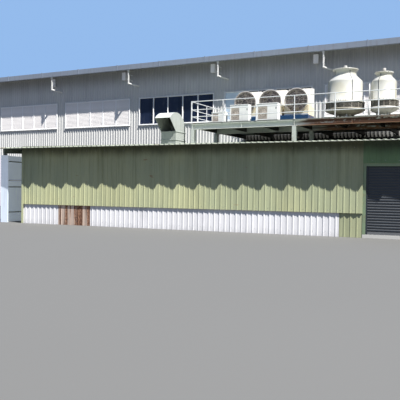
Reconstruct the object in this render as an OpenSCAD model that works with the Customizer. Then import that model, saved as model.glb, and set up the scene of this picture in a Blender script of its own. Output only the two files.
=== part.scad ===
// Two-storey factory hall with a green lean-to, a roof platform and its cooling plant.
// Millimetres. x runs along the hall, -y is the front, z is up from the ground.

/* [Hall] */
// Number of bays along the hall
bays = 6; // [6:1:7]
// Length of one bay, from downpipe to downpipe
bay_l = 6000; // [5900:50:6300]
// Depth of the hall over its walls
hall_d = 15000; // [12000:500:16000]
// Height of the long walls at the eaves
eave_z = 8750; // [8600:50:9400]
// Thickness of the wall panels behind the cladding
wall_t = 120; // [80:10:200]
// Slope of the hall roof in degrees
roof_slope = 5; // [3:1:10]
// Thickness of the roof panels
roof_t = 100; // [60:10:160]
// How far the roof runs past the long walls
eave_over = 470; // [400:10:600]
// How far the roof runs past the end walls
verge_over = 180; // [100:10:300]
// Thickness of the ground slab
slab_t = 150; // [100:10:250]
// Height of the upper floor's top
upper_z = 4400; // [4000:50:4600]
// Thickness of the upper floor
upper_t = 150; // [100:10:200]
// Depth of the columns, square to the long walls
column_d = 300; // [200:10:400]
// Width of the columns and beams
column_w = 200; // [150:10:300]
// Depth of the rafters
rafter_d = 300; // [200:10:400]
// Depth of the beams under the upper floor
beam_d = 350; // [250:10:450]

/* [Cladding] */
// Pitch of the ribs on walls and roofs
rib_pitch = 190; // [150:10:250]
// Height of each rib
rib_h = 25; // [15:1:35]
// Width of a rib at its foot
rib_foot = 64; // [50:2:80]
// Width of a rib at its top
rib_top = 32; // [16:2:44]
// Thickness of the outer sheets
skin_t = 12; // [8:1:20]

/* [Windows] */
// Distance from the hall's left end to the first window
win_start = 970; // [900:10:1200]
// Pitch of the windows
win_pitch = 5750; // [5600:10:5800]
// Width of a window
win_w = 5070; // [4600:10:5100]
// Height of a window
win_h = 1645; // [1300:5:1800]
// Height of the window sills
sill_z = 5235; // [5000:5:5500]
// Panes in each window
panes = 5; // [3:1:7]
// Width of the window bars
bar_w = 40; // [30:5:80]
// Depth of the window frames
frame_d = 110; // [100:5:120]
// Depth of the bars between clear panes
bar_d = 45; // [30:5:70]
// Pitch of the louvre blades
blade_pitch = 78; // [60:2:120]
// How far the sills stand out from the cladding
sill_out = 90; // [60:5:140]
// Thickness of the sills
sill_t = 50; // [40:5:90]

/* [Gutters and downpipes] */
// Height of the gutter's fascia
gutter_h = 290; // [240:10:340]
// Width of the gutter
gutter_w = 190; // [150:10:240]
// Thickness of the gutter's metal
gutter_t = 10; // [6:1:14]
// Pitch of the straps along the gutter
strap_pitch = 3000; // [1500:100:3500]
// Outer diameter of the downpipes
pipe_d = 100; // [80:5:130]
// Length of a downpipe below the gutter
pipe_l = 830; // [700:10:1000]
// Sideways run of the downpipe's lower bend
pipe_jog = 420; // [300:10:600]
// Width of the boxes beside the downpipes
box_w = 250; // [200:10:300]
// Height of the boxes beside the downpipes
box_h = 460; // [400:10:520]

/* [Annex] */
// Distance of the annex's left corner from the middle of the hall
annex_left = 2000; // [1500:50:2600]
// Length of the annex along the hall
annex_len = 18700; // [18000:50:18700]
// Depth of the annex at its left corner
annex_d = 13390; // [12500:10:14000]
// Angle between the annex front and the hall, in degrees
annex_skew = 4.57; // [3:0.01:5.5]
// Height under the annex roof at the front left corner
annex_front_z = 2850; // [2700:10:2950]
// Height under the annex roof at the hall
annex_back_z = 3500; // [3300:10:3600]
// Thickness of the annex sheets
sheet_t = 15; // [10:1:20]
// Cover width of one roof sheet
sheet_w = 760; // [760:10:800]
// Overhang of the roof sheets past the front
roof_over = 410; // [300:10:450]
// Width of the covered recess left of the annex
recess_w = 1040; // [800:10:1200]
// Height of the low band of sheets
low_z = 800; // [600:10:900]
// How far the green sheets lap over the low band
low_lap = 70; // [40:5:120]
// Distance from the corner to the rusty sheets
rusty_start = 1670; // [1300:10:1900]
// Length of the rusty sheets
rusty_len = 1400; // [900:10:1600]
// Distance from the corner to the low green sheets beside the shutter
green_start = 12000; // [11000:10:12300]
// Thickness of the annex side walls
side_t = 60; // [40:5:100]
// Thickness of the annex floor
annex_slab_t = 100; // [80:10:150]
// Size of the annex posts
annex_post = 100; // [80:5:120]
// Depth of the annex rafters
annex_rafter_d = 180; // [120:10:220]
// Width of the annex rafters
annex_rafter_w = 80; // [60:5:100]

/* [Roller shutter] */
// Distance from the annex corner to the shutter
door_start = 12780; // [12600:10:12900]
// Width of the shutter
door_w = 3200; // [2800:50:3300]
// Height of the shutter
door_h = 2150; // [2000:10:2250]
// Width of the shutter's jambs and head
jamb_w = 90; // [70:5:120]
// Pitch of the shutter slats
slat_pitch = 80; // [60:2:100]
// Recess of the shutter behind the sheets
door_in = 60; // [50:5:100]

/* [Recess] */
// Width of the pale screen that closes the recess
screen_w = 340; // [250:10:450]
// Height of the pale screen
screen_h = 2600; // [2300:10:2650]
// Length of the screen along the recess
screen_l = 2400; // [1500:50:3000]
// Thickness of the screen
screen_t = 40; // [30:5:60]
// Height of the small shelf in the recess
shelf_z = 1600; // [1400:10:1800]
// Thickness of the shelf
shelf_t = 60; // [40:5:90]

/* [Exhaust duct] */
// Distance of the duct's left side from the middle of the hall
duct_x = 190; // [150:10:300]
// Distance of the duct's back from the hall
duct_out = 5940; // [5500:10:6100]
// Width of the duct
duct_w = 790; // [700:10:800]
// Depth of the duct
duct_d = 900; // [700:10:1000]
// Thickness of the duct's metal
duct_t = 12; // [8:1:20]
// Height of the lower edge of the duct's mouth
mouth_z = 4030; // [3950:10:4200]
// Outer radius of the duct's bend
bend_r = 820; // [780:5:850]
// Height of the bend's top
bend_z = 4885; // [4850:5:4950]
// Angle through which the bend turns, in degrees
bend_a = 140; // [130:1:145]

/* [Platform] */
// Distance of the platform's left edge from the middle of the hall
deck_x = 1420; // [1400:10:1600]
// Number of platform bays
deck_bays = 3; // [3:1:3]
// Pitch of the platform posts
post_pitch = 4880; // [4800:10:4960]
// Depth of the platform
deck_d = 6250; // [6000:10:6600]
// Gap between the deck and the hall's cladding
deck_gap = 45; // [30:5:80]
// Distance of the second row of posts behind the platform's edge
row_in = 2550; // [2450:10:2650]
// Height of the platform's top
deck_z = 4420; // [4300:10:4500]
// Thickness of the deck plates
deck_t = 40; // [20:5:60]
// Depth of the edge beams
edge_h = 240; // [200:10:300]
// Width of the edge beams
edge_w = 170; // [140:10:200]
// Width of the platform posts
post_w = 175; // [150:5:200]
// Thickness of the flanges
flange_t = 16; // [10:1:22]
// Thickness of the webs
web_t = 12; // [8:1:16]
// Clearance round posts and duct where they pass the roof
pass_gap = 15; // [5:1:30]
// Height of the rails
rail_h = 1000; // [900:10:1100]
// Diameter of the rails
rail_d = 42; // [35:1:55]
// Width of the first two spaces between the front rail's posts
rail_near = 1610; // [1500:10:1700]
// Width of the front rail's other spaces
rail_pitch = 1740; // [1700:10:1800]
// Spaces between the side rails' posts
side_spaces = 4; // [3:1:6]
// Distance of the rails' axes from the platform's edge
rail_in = 25; // [25:5:90]

/* [Air conditioners] */
// Width of the middle outdoor unit
ac_w = 930; // [850:10:960]
// Width of the large outdoor unit
ac_large_w = 1000; // [900:10:1040]
// Height of the middle and large outdoor units
ac_h = 790; // [700:10:850]
// Width of the small outdoor unit
ac_small_w = 680; // [600:10:750]
// Height of the small outdoor unit
ac_small_h = 500; // [400:10:550]
// Depth of the outdoor units
ac_d = 320; // [280:10:360]
// Distance of the units' fronts behind the platform's edge
ac_in = 300; // [200:10:400]
// Distance from the platform's left edge to the small unit
ac_small_x = 920; // [850:10:950]
// Distance from the platform's left edge to the middle unit
ac_middle_x = 1840; // [1800:10:1880]
// Distance from the platform's left edge to the large unit
ac_large_x = 3140; // [3000:10:3200]
// Height of the units' feet
foot_h = 50; // [30:5:80]

/* [Fan units] */
// Number of fan units
fans = 3; // [3:1:3]
// Pitch of the fan units
fan_pitch = 1290; // [1260:10:1340]
// Distance from the platform's left edge to the first fan's axis
fan_x = 1680; // [1600:10:1700]
// Distance of the housings' fronts behind the platform's edge
fan_in = 2410; // [2300:10:2600]
// Width of a fan housing
house_w = 1160; // [1140:10:1200]
// Height of a fan housing
house_h = 1300; // [1240:10:1400]
// Depth of a fan housing with its drum
house_d = 950; // [900:10:1100]
// Height of the steel base under the housings
base_h = 490; // [400:10:600]
// Diameter of the fan openings
throat_d = 1070; // [1040:2:1080]
// Length of the round drum in front of each housing
throat_deep = 620; // [500:10:700]
// Thickness of the drum
drum_t = 28; // [20:2:30]
// Length of the lip at the drum's mouth
lip_l = 50; // [30:5:80]
// How far the lip stands out round the opening
lip_out = 42; // [34:2:46]
// Diameter over the blades
rotor_d = 1020; // [960:2:1030]
// Diameter of the hub
hub_d = 240; // [180:5:300]
// Length of the hub
hub_l = 180; // [160:5:220]
// Diameter of the shaft behind the hub
shaft_d = 60; // [40:2:90]
// Number of blades
blades = 6; // [4:1:7]
// Pitch angle of the blades
blade_angle = 28; // [15:1:32]
// Thickness of the blades
blade_t = 10; // [6:1:14]
// Number of spokes in a guard
spokes = 8; // [6:1:16]
// Thickness of the guard's wires
wire_t = 12; // [10:1:18]

/* [Cooling towers] */
// Distance from the platform's left edge to the first tower's axis
tower_1_x = 6710; // [6600:10:6750]
// Radius of the first tower's body
tower_1_r = 740; // [700:5:760]
// Distance from the platform's left edge to the second tower's axis
tower_2_x = 8350; // [8250:10:8400]
// Radius of the second tower's body
tower_2_r = 520; // [480:5:560]
// Distance of the towers' axes behind the platform's edge
tower_in = 1710; // [1500:10:1900]
// Height from the deck to the underside of the basins
basin_z = 230; // [180:5:280]
// Height of the basins
basin_h = 330; // [280:5:380]
// How far a basin's rim stands out from the body
basin_out = 110; // [80:5:140]
// Height of the open inlet band
inlet_h = 350; // [280:5:400]
// Height of the body to its shoulder
body_h = 780; // [650:5:850]
// Height from the shoulder to the flange
neck_h = 640; // [500:5:700]
// Share of the body's radius left at the neck
neck_share = 0.68; // [0.6:0.01:0.75]
// How far the top flange flares out from the neck
flare_out = 60; // [40:5:90]
// Thickness of the towers' shells
shell_t = 14; // [10:1:20]
// Inlet posts in each tower
inlet_posts = 12; // [8:1:16]
// Diameter of the towers' motors
motor_d = 220; // [160:5:260]

/* [Hidden] */
$fn = 48;

// Clearance between pieces that meet on a slope or along the skewed front
fit = 0.1;

half_l = bays * bay_l / 2;
front_y = -hall_d / 2;
back_y = hall_d / 2;
skin_out = skin_t + rib_h;
face_y = front_y - skin_out;
frame_out = 10;
roof_rise = tan(roof_slope);
ridge_z = eave_z + hall_d / 2 * roof_rise;
gutter_z = eave_z - 200;
gutter_y = eave_over - 30;
glazed = [2, 3];
box_left = [500, 200, 590, 500, 510, 500, 500];

annex_x = -annex_left;
annex_slope = atan((annex_back_z - annex_front_z) / annex_d);
annex_run = annex_len / cos(annex_skew);
sheet_out = sheet_t + rib_h;
sheets = ceil((annex_len + recess_w) / sheet_w);
open_above = 4000;

deck_l = deck_bays * post_pitch + post_w + 40;
edge_y = front_y - deck_d;
beam_z = deck_z - deck_t - edge_h;

base_y = edge_y + fan_in;
fan_z = deck_z + base_h + house_h / 2 + 30;
tower_xs = [deck_x + tower_1_x, deck_x + tower_2_x];
tower_rs = [tower_1_r, tower_2_r];
tower_y = edge_y + tower_in;
rim_z = deck_z + basin_z + basin_h;
body_z = rim_z + inlet_h;
shoulder_z = body_z + body_h;
top_z = shoulder_z + neck_h;

// Height of the hall roof's underside over a place y
function roof_under(y) = ridge_z - abs(y) * roof_rise;

// Distance of the annex front line from the hall's middle axis at a place x
function annex_front(x) = front_y - annex_d + (x - annex_x) * tan(annex_skew);

// Outline of a ribbed sheet from x = 0 to len, ribs towards -y
function ribbed(len, t) =
    let (n = floor(len / rib_pitch), x0 = (len - n * rib_pitch) / 2)
    concat(
        [[0, 0], [0, -t]],
        [for (i = [0:n - 1]) let (c = x0 + (i + 0.5) * rib_pitch) each [
            [c - rib_foot / 2, -t], [c - rib_top / 2, -t - rib_h],
            [c + rib_top / 2, -t - rib_h], [c + rib_foot / 2, -t]
        ]],
        [[len, -t], [len, 0]]
    );

// Outline of a steel section, w wide and h deep, middle on the origin
function section(w, h) =
    let (a = w / 2, b = h / 2, c = web_t / 2, f = b - flange_t) [
        [-a, -b], [a, -b], [a, -f], [c, -f], [c, f], [a, f],
        [a, b], [-a, b], [-a, f], [-c, f], [-c, -f], [-a, -f]
    ];

function arc(cx, cy, r, a0, a1, n) =
    [for (i = [0:n]) let (a = a0 + (a1 - a0) * i / n) [cx + r * cos(a), cy + r * sin(a)]];

function reversed(p) = [for (i = [len(p) - 1:-1:0]) p[i]];

// Left edge of window i
function window_x(i) = -half_l + win_start + i * win_pitch;

// Place of frame i along the hall, the end ones just inside the end walls
function frame_x(i) =
    i == 0 ? -half_l + wall_t + column_w / 2 :
    i == bays ? half_l - wall_t - column_w / 2 : -half_l + i * bay_l;

// Draws a y, z outline along x
module along_x(x0, x1) {
    translate([x0, 0, 0]) rotate([90, 0, 90]) linear_extrude(x1 - x0) children();
}

// Puts what stands along -y at the front, and its turned copy at the back
module front_and_back() {
    children();
    rotate([0, 0, 180]) children();
}

// A ribbed sheet standing on x from 0 to len, back face on y = 0
module ribbed_sheet(len, h, t) {
    linear_extrude(h) polygon(ribbed(len, t));
}

// Moves to the annex's skewed front: x along it, y inwards
module at_annex_front() {
    translate([annex_x, front_y - annex_d, 0]) rotate([0, 0, annex_skew]) children();
}

// Moves to the sloping underside of the annex roof: y runs down to the front
module on_annex_slope() {
    translate([0, face_y, annex_back_z]) rotate([90 + annex_slope, 0, 0]) children();
}

// All that is higher than the annex roof's underside, less a depth
module above_annex_roof(depth) {
    on_annex_slope() translate([annex_x - 3000, -depth, -2000])
        cube([annex_len + 6000, 4000, annex_d + 6000]);
}

module window_holes(count, margin) {
    for (i = [0:count - 1])
        translate([window_x(i) - margin, front_y - skin_out - 50, sill_z - margin])
            cube([win_w + 2 * margin, wall_t + skin_out + 100, win_h + 2 * margin]);
}

module long_wall() {
    difference() {
        along_x(-half_l, half_l) polygon([
            [front_y, 0], [front_y + wall_t, 0],
            [front_y + wall_t, roof_under(front_y + wall_t)], [front_y, eave_z]
        ]);
        window_holes(bays, 0);
    }
}

module long_cladding() {
    difference() {
        translate([-half_l - skin_out, front_y, 0])
            ribbed_sheet(2 * (half_l + skin_out), roof_under(face_y), skin_t);
        window_holes(bays, 0);
    }
}

module hall_floor() {
    color("silver") translate([-half_l + wall_t, front_y + wall_t, 0])
        cube([2 * (half_l - wall_t), hall_d - 2 * wall_t, slab_t]);
}

module hall_columns() {
    color("lightslategray") for (i = [0:bays]) front_and_back()
        translate([frame_x(i) - column_w / 2, front_y + wall_t, slab_t])
            cube([column_w, column_d, roof_under(front_y + wall_t) - slab_t]);
}

module hall_rafters() {
    inner = front_y + wall_t + column_d;
    color("lightslategray") for (i = [0:bays])
        along_x(frame_x(i) - column_w / 2, frame_x(i) + column_w / 2) polygon([
            [inner, roof_under(inner)], [inner, roof_under(inner) - rafter_d],
            [0, ridge_z - rafter_d], [-inner, roof_under(inner) - rafter_d],
            [-inner, roof_under(inner)], [0, ridge_z]
        ]);
}

module floor_beams() {
    inner = front_y + wall_t + column_d;
    color("lightslategray") for (i = [0:bays])
        translate([frame_x(i) - column_w / 2, inner, upper_z - upper_t - beam_d])
            cube([column_w, -2 * inner, beam_d]);
}

module upper_floor() {
    inner = front_y + wall_t + column_d;
    color("silver") translate([-half_l + wall_t, inner, upper_z - upper_t])
        cube([2 * (half_l - wall_t), -2 * inner, upper_t]);
}

module hall_front_wall() {
    color("gainsboro") long_wall();
}

module hall_back_wall() {
    color("gainsboro") rotate([0, 0, 180]) long_wall();
}

module end_wall() {
    y0 = front_y + wall_t;
    along_x(-half_l, -half_l + wall_t) polygon([
        [y0, 0], [-y0, 0], [-y0, roof_under(y0)], [0, ridge_z], [y0, roof_under(y0)]
    ]);
}

module hall_end_walls() {
    color("gainsboro") front_and_back() end_wall();
}

module hall_front_cladding() {
    color([0.62, 0.65, 0.68]) long_cladding();
}

module hall_back_cladding() {
    color([0.62, 0.65, 0.68]) rotate([0, 0, 180]) long_cladding();
}

module end_cladding() {
    intersection() {
        translate([-half_l, -front_y, 0]) rotate([0, 0, -90])
            ribbed_sheet(hall_d, ridge_z, skin_t);
        along_x(-half_l - 2 * skin_out, -half_l) polygon([
            [front_y, 0], [back_y, 0], [back_y, eave_z], [0, ridge_z], [front_y, eave_z]
        ]);
    }
}

module hall_end_cladding() {
    color([0.62, 0.65, 0.68]) front_and_back() end_cladding();
}

module roof_half() {
    out = front_y - eave_over;
    along_x(-half_l - verge_over, half_l + verge_over) polygon([
        [out, roof_under(out) + fit], [0, ridge_z + fit], [0, ridge_z + roof_t], [out, roof_under(out) + roof_t]
    ]);
}

module hall_roof_front() {
    color("lightsteelblue") roof_half();
}

module hall_roof_back() {
    color("lightsteelblue") rotate([0, 0, 180]) roof_half();
}

// Ribbed sheets over one half of the roof, from beside the ridge to the eave
module roof_half_sheets() {
    run = hall_d / 2 + eave_over;
    length = 2 * (half_l + verge_over);
    translate([-half_l - verge_over, 0, ridge_z + roof_t + fit]) rotate([90 + roof_slope, 0, 0])
        linear_extrude(run / cos(roof_slope)) mirror([0, 1, 0]) polygon(ribbed(length, skin_t));
}

module hall_roof_sheets() {
    color("lightsteelblue") front_and_back() difference() {
        roof_half_sheets();
        translate([-2 * half_l, -30, ridge_z]) cube([4 * half_l, 1000, 1000]);
    }
}

module ridge_cap() {
    wide = 350;
    z0 = ridge_z + roof_t + (skin_t + rib_h) / cos(roof_slope) + 2 * fit;
    drop = wide * roof_rise;
    color("lightsteelblue") along_x(-half_l - verge_over, half_l + verge_over) polygon([
        [-wide, z0 - drop], [0, z0], [wide, z0 - drop],
        [wide, z0 - drop + skin_t], [0, z0 + skin_t], [-wide, z0 - drop + skin_t]
    ]);
}

// Open channel with its front lip as the fascia
module gutter() {
    y1 = front_y - gutter_y;
    y0 = y1 - gutter_w;
    along_x(-half_l - verge_over, half_l + verge_over) polygon([
        [y0, gutter_z], [y1, gutter_z], [y1, roof_under(y1)], [y1 - gutter_t, roof_under(y1 - gutter_t)],
        [y1 - gutter_t, gutter_z + gutter_t], [y0 + gutter_t, gutter_z + gutter_t],
        [y0 + gutter_t, gutter_z + gutter_h], [y0, gutter_z + gutter_h]
    ]);
}

module eave_gutters() {
    color([0.72, 0.77, 0.83]) front_and_back() gutter();
}

// Straps over the fascia's joints and the boxes that hang on the wall
module gutter_fittings() {
    strap_w = 60;
    strap_t = 12;
    box_d = 160;
    box_top = gutter_z - 60;
    y0 = front_y - gutter_y - gutter_w;
    straps = floor(2 * half_l / strap_pitch);
    start = (2 * half_l - straps * strap_pitch) / 2 - half_l;
    color("whitesmoke") front_and_back() {
        for (i = [0:straps - 1])
            translate([start + (i + 0.73) * strap_pitch, y0 - strap_t, gutter_z - 20])
                cube([strap_w, strap_t, gutter_h + 50]);
        for (i = [1:bays - 1])
            translate([-half_l + i * bay_l - box_left[i] - box_w / 2, face_y - box_d, box_top - box_h])
                cube([box_w, box_d, box_h]);
    }
}

// Pipe from the gutter down to a bend that runs back into the wall
module downpipe() {
    y0 = front_y - gutter_y - gutter_w / 2;
    run_y = face_y - y0;
    drop = 0.25 * pipe_jog;
    lower = gutter_z - pipe_l;
    slant = norm([pipe_jog, run_y, drop]);
    translate([0, y0, lower]) {
        cylinder(h = pipe_l, d = pipe_d);
        sphere(d = pipe_d + 16);
        difference() {
            rotate([0, 90 + asin(drop / slant), atan2(run_y, pipe_jog)])
                cylinder(h = slant + pipe_d, d = pipe_d);
            translate([-pipe_jog, run_y, -pipe_jog]) cube([3 * pipe_jog, 3 * pipe_d, 2 * pipe_jog]);
        }
    }
}

module downpipes() {
    color("whitesmoke") front_and_back() for (i = [1:bays - 1])
        translate([-half_l + i * bay_l, 0, 0]) downpipe();
}

// Frame of one window with bars of a given depth, standing on x from 0 to win_w
module window_frame(depth) {
    y0 = face_y - frame_out;
    pane = (win_w - bar_w) / panes;
    difference() {
        translate([0, y0, sill_z]) cube([win_w, frame_d, win_h]);
        translate([bar_w, y0 - 1, sill_z + bar_w]) cube([win_w - 2 * bar_w, frame_d + 2, win_h - 2 * bar_w]);
    }
    for (i = [1:panes - 1])
        translate([i * pane, y0, sill_z + bar_w / 2]) cube([bar_w, depth, win_h - bar_w]);
    translate([0, face_y - sill_out, sill_z]) cube([win_w, sill_out + 20, sill_t]);
}

// Slanting blades of one pane, as a folded profile between the bars
module louvre_pane(w) {
    n = floor((win_h - 2 * bar_w) / blade_pitch);
    step = (win_h - 2 * bar_w) / n;
    y0 = front_y - skin_out + 5;
    y1 = y0 + 45;
    along_x(0, w) translate([0, sill_z + bar_w]) polygon(concat(
        [[y1 + 20, 0]],
        [for (i = [0:n - 1]) each [[y0, i * step], [y0, i * step + 8], [y1, (i + 0.92) * step]]],
        [[y1, n * step], [y1 + 20, n * step]]
    ));
}

module louvre_window() {
    pane = (win_w - bar_w) / panes;
    window_frame(frame_d);
    for (i = [0:panes - 1]) translate([i * pane + bar_w, 0, 0]) louvre_pane(pane - bar_w);
}

module louvre_windows() {
    color("white") {
        for (i = [0:bays - 1]) if (len(search(i, glazed)) == 0)
            translate([window_x(i), 0, 0]) louvre_window();
        for (i = [0:bays - 1]) rotate([0, 0, 180]) translate([window_x(i), 0, 0]) louvre_window();
    }
}

module glazed_window_frames() {
    color("white") for (i = glazed) translate([window_x(i), 0, 0]) window_frame(bar_d);
}

// One sheet of glass behind the bars of each glazed window
module glazed_window_glass() {
    glass_t = 10;
    edge = bar_w + 2;
    color("midnightblue") for (i = glazed)
        translate([window_x(i) + edge, face_y - frame_out + bar_d, sill_z + edge])
            cube([win_w - 2 * edge, glass_t, win_h - 2 * edge]);
}

// Plan of the annex between two places along x, inside its front sheets
function annex_plan(x0, x1) = [
    [x0, face_y], [x0, annex_front(x0) + (sheet_out + fit) / cos(annex_skew)],
    [x1, annex_front(x1) + (sheet_out + fit) / cos(annex_skew)], [x1, face_y]
];

module annex_floor() {
    color("silver") linear_extrude(annex_slab_t) {
        polygon(annex_plan(annex_x + side_t, annex_x + annex_len - side_t));
        at_annex_front() translate([door_start - jamb_w, 0])
            square([door_w + 2 * jamb_w, 3 * sheet_out]);
    }
}

// Posts and rails that carry the front sheets and the rafters
module annex_frame() {
    count = 4;
    rail = 80;
    x0 = side_t + 25;
    x1 = door_start - jamb_w;
    x2 = annex_run - side_t - 25;
    color("darkslategray") difference() {
        at_annex_front() {
            for (i = [0:count])
                translate([x0 + i * (x1 - x0 - annex_post) / count, rail, annex_slab_t])
                    cube([annex_post, annex_post, annex_front_z]);
            translate([x0, 0, low_z + 20]) cube([x1 - x0, rail + 10, rail]);
            translate([x0, 0, annex_front_z - annex_rafter_d - rail]) cube([x2 - x0, rail + 10, 3 * rail]);
            for (x = [x2 - annex_post, door_start + door_w + jamb_w])
                translate([x, rail, annex_slab_t]) cube([annex_post, annex_post, annex_front_z]);
            translate([-recess_w + screen_t, rail, 0]) cube([annex_post, annex_post, annex_front_z]);
        }
        above_annex_roof(annex_rafter_d);
    }
}

module annex_rafters() {
    count = 4;
    step = (annex_len - 2 * side_t - annex_rafter_w - 2 * fit) / count;
    xs = concat([annex_x - recess_w + screen_t + 10], [for (i = [0:count]) annex_x + side_t + fit + i * step]);
    start = annex_rafter_d * tan(annex_slope) + 1;
    color("darkslategray") for (x = xs) {
        run = face_y - annex_front(x + annex_rafter_w) - 40;
        on_annex_slope() translate([x, -annex_rafter_d, start])
            cube([annex_rafter_w, annex_rafter_d, run / cos(annex_slope) - start]);
    }
}

// Roof sheets square to the hall, each stepped back from the last along the skewed front
module annex_roof() {
    color([0.72, 0.76, 0.66]) difference() {
        for (i = [0:sheets - 1]) {
            x = annex_x - recess_w + i * sheet_w;
            run = face_y - annex_front(x) + roof_over;
            on_annex_slope() translate([x, 0, 0]) linear_extrude(run / cos(annex_slope))
                mirror([0, 1, 0]) polygon(ribbed(sheet_w, sheet_t));
        }
        for (x = post_xs(), y = post_ys())
            translate([x - post_w / 2 - pass_gap, y - post_w / 2 - pass_gap, 0])
                cube([post_w + 2 * pass_gap, post_w + 2 * pass_gap, open_above]);
        translate([duct_x - pass_gap, front_y - duct_out - duct_d - pass_gap, 0])
            cube([duct_w + 2 * pass_gap, duct_d + 2 * pass_gap, open_above]);
    }
}

// Green sheets from the roof down over the low band, and beside the shutter
module annex_front_wall() {
    right = door_start + door_w + jamb_w;
    color([0.40, 0.46, 0.36]) difference() {
        at_annex_front() {
            translate([0, 0, low_z - low_lap]) ribbed_sheet(door_start - jamb_w, open_above, sheet_t);
            translate([green_start, sheet_out, 0])
                ribbed_sheet(door_start - jamb_w - green_start, low_z, sheet_t);
            translate([right, 0, 0]) ribbed_sheet(annex_run - right, open_above, sheet_t);
        }
        above_annex_roof(0);
    }
}

module annex_lintel_wall() {
    color([0.30, 0.42, 0.28]) difference() {
        at_annex_front() translate([door_start - jamb_w, 0, door_h + jamb_w])
            ribbed_sheet(door_w + 2 * jamb_w, open_above, sheet_t);
        above_annex_roof(0);
    }
}

// Low band behind the green sheets: white at the corner and along most of the front
module annex_white_sheets() {
    start = rusty_start + rusty_len;
    color("white") at_annex_front() {
        translate([0, sheet_out, 0]) ribbed_sheet(rusty_start, low_z, sheet_t);
        translate([start, sheet_out, 0]) ribbed_sheet(green_start - start, low_z, sheet_t);
    }
}

module annex_rusty_sheets() {
    color("saddlebrown") at_annex_front() translate([rusty_start, sheet_out, 0])
        ribbed_sheet(rusty_len, low_z, sheet_t);
}

module annex_side_walls() {
    color([0.40, 0.46, 0.36]) difference() {
        linear_extrude(open_above) {
            polygon(annex_plan(annex_x, annex_x + side_t));
            polygon(annex_plan(annex_x + annex_len - side_t, annex_x + annex_len));
        }
        above_annex_roof(0);
    }
}

module shutter_frame() {
    depth = door_in + 60;
    color([0.55, 0.62, 0.50]) at_annex_front() difference() {
        translate([door_start - jamb_w, 0, annex_slab_t])
            cube([door_w + 2 * jamb_w, depth, door_h + jamb_w - annex_slab_t]);
        translate([door_start, -1, 0]) cube([door_w, depth + 2, door_h]);
    }
}

// Curtain of curved slats with a straight bottom bar
module shutter_curtain() {
    bulge = 14;
    back = 12;
    foot = annex_slab_t;
    bottom = foot + 90;
    n = floor((door_h - bottom) / slat_pitch);
    step = (door_h - bottom) / n;
    color("darkslategray") at_annex_front() along_x(door_start, door_start + door_w)
        translate([door_in, 0]) polygon(concat(
            [[back, foot], [-6, foot], [-6, bottom]],
            [for (i = [0:n - 1]) each [
                [0, bottom + (i + 0.04) * step], [-bulge * 0.75, bottom + (i + 0.25) * step],
                [-bulge, bottom + (i + 0.5) * step], [-bulge * 0.75, bottom + (i + 0.75) * step],
                [0, bottom + (i + 0.96) * step]
            ]],
            [[0, door_h], [back, door_h]]
        ));
}

// Pale screen at the left end of the recess, returned along its side
module recess_screen() {
    color("aliceblue") at_annex_front() translate([-recess_w, 0, 0]) {
        cube([screen_w, screen_t, screen_h]);
        cube([screen_t, screen_l, screen_h]);
    }
}

// Small board between the screen and the annex side wall
module recess_shelf() {
    color("white") difference() {
        at_annex_front() translate([-recess_w + screen_t, 200, shelf_z])
            cube([recess_w, 350, shelf_t]);
        translate([annex_x, front_y - annex_d - 1000, 0]) cube([1000, 3000, open_above]);
    }
}

// Square duct through the annex roof, bent forward to a slanting mouth
module exhaust_duct() {
    y0 = front_y - duct_out;
    yf = y0 - duct_d;
    foot = annex_back_z - 500;
    outer = concat(
        [[y0, foot]], arc(y0 - bend_r, bend_z - bend_r, bend_r, 0, bend_a, 14),
        [[yf, mouth_z], [yf, foot]]
    );
    inner = concat(
        [[y0 - duct_t, foot - 1]], arc(y0 - bend_r, bend_z - bend_r, bend_r - duct_t, 0, bend_a + 3, 14),
        [[yf - 2, mouth_z - 2], [yf + duct_t, mouth_z - 2], [yf + duct_t, foot - 1]]
    );
    curb = 70;
    color([0.60, 0.66, 0.60]) difference() {
        union() {
            along_x(duct_x, duct_x + duct_w) polygon(outer);
            on_annex_slope() translate([duct_x - curb, sheet_out, duct_out - skin_out - curb])
                cube([duct_w + 2 * curb, duct_t, duct_d + 2 * curb]);
        }
        along_x(duct_x + duct_t, duct_x + duct_w - duct_t) polygon(inner);
    }
}

function post_xs() = [for (i = [0:deck_bays]) deck_x + 20 + post_w / 2 + i * post_pitch];
function post_ys() = [edge_y + edge_w / 2, edge_y + row_in];

module platform_posts() {
    color([0.55, 0.62, 0.56]) for (x = post_xs(), y = post_ys())
        translate([x, y, annex_slab_t]) linear_extrude(beam_z - annex_slab_t) polygon(section(post_w, post_w));
}

module platform_edge_beams() {
    color([0.55, 0.62, 0.56]) for (y = post_ys())
        along_x(deck_x, deck_x + deck_l) translate([y, beam_z + edge_h / 2]) polygon(section(edge_w, edge_h));
}

module platform_cross_beams() {
    w = 100;
    n = deck_bays * 3;
    ys = [for (y = post_ys()) each [y - edge_w / 2, y + edge_w / 2]];
    spans = [[ys[1], ys[2]], [ys[3], face_y]];
    color([0.45, 0.50, 0.46]) for (i = [0:n], span = spans)
        translate([deck_x + 60 + i * (deck_l - 120 - w) / n, span[0], beam_z + edge_h / 4])
            cube([w, span[1] - span[0], edge_h * 3 / 4]);
}

module platform_deck() {
    color([0.42, 0.40, 0.36]) translate([deck_x, edge_y, deck_z - deck_t])
        cube([deck_l, face_y - deck_gap - edge_y, deck_t]);
}

// Places of the front rail's posts: two near spaces, then even ones, then the end
function front_posts() =
    let (l = deck_l - 2 * rail_in, n = floor((l - 2 * rail_near) / rail_pitch))
    concat([0, rail_near], [for (i = [0:n]) 2 * rail_near + i * rail_pitch], [l]);

// Three rails along x on posts at the given places
module rail_run(posts) {
    for (x = posts) translate([x, 0, 0]) cylinder(h = rail_h, d = rail_d, $fn = 16);
    for (share = [0.3, 0.62, 1])
        translate([0, 0, rail_h * share]) rotate([0, 90, 0])
            cylinder(h = posts[len(posts) - 1], d = rail_d * 0.85, $fn = 16);
}

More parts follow.
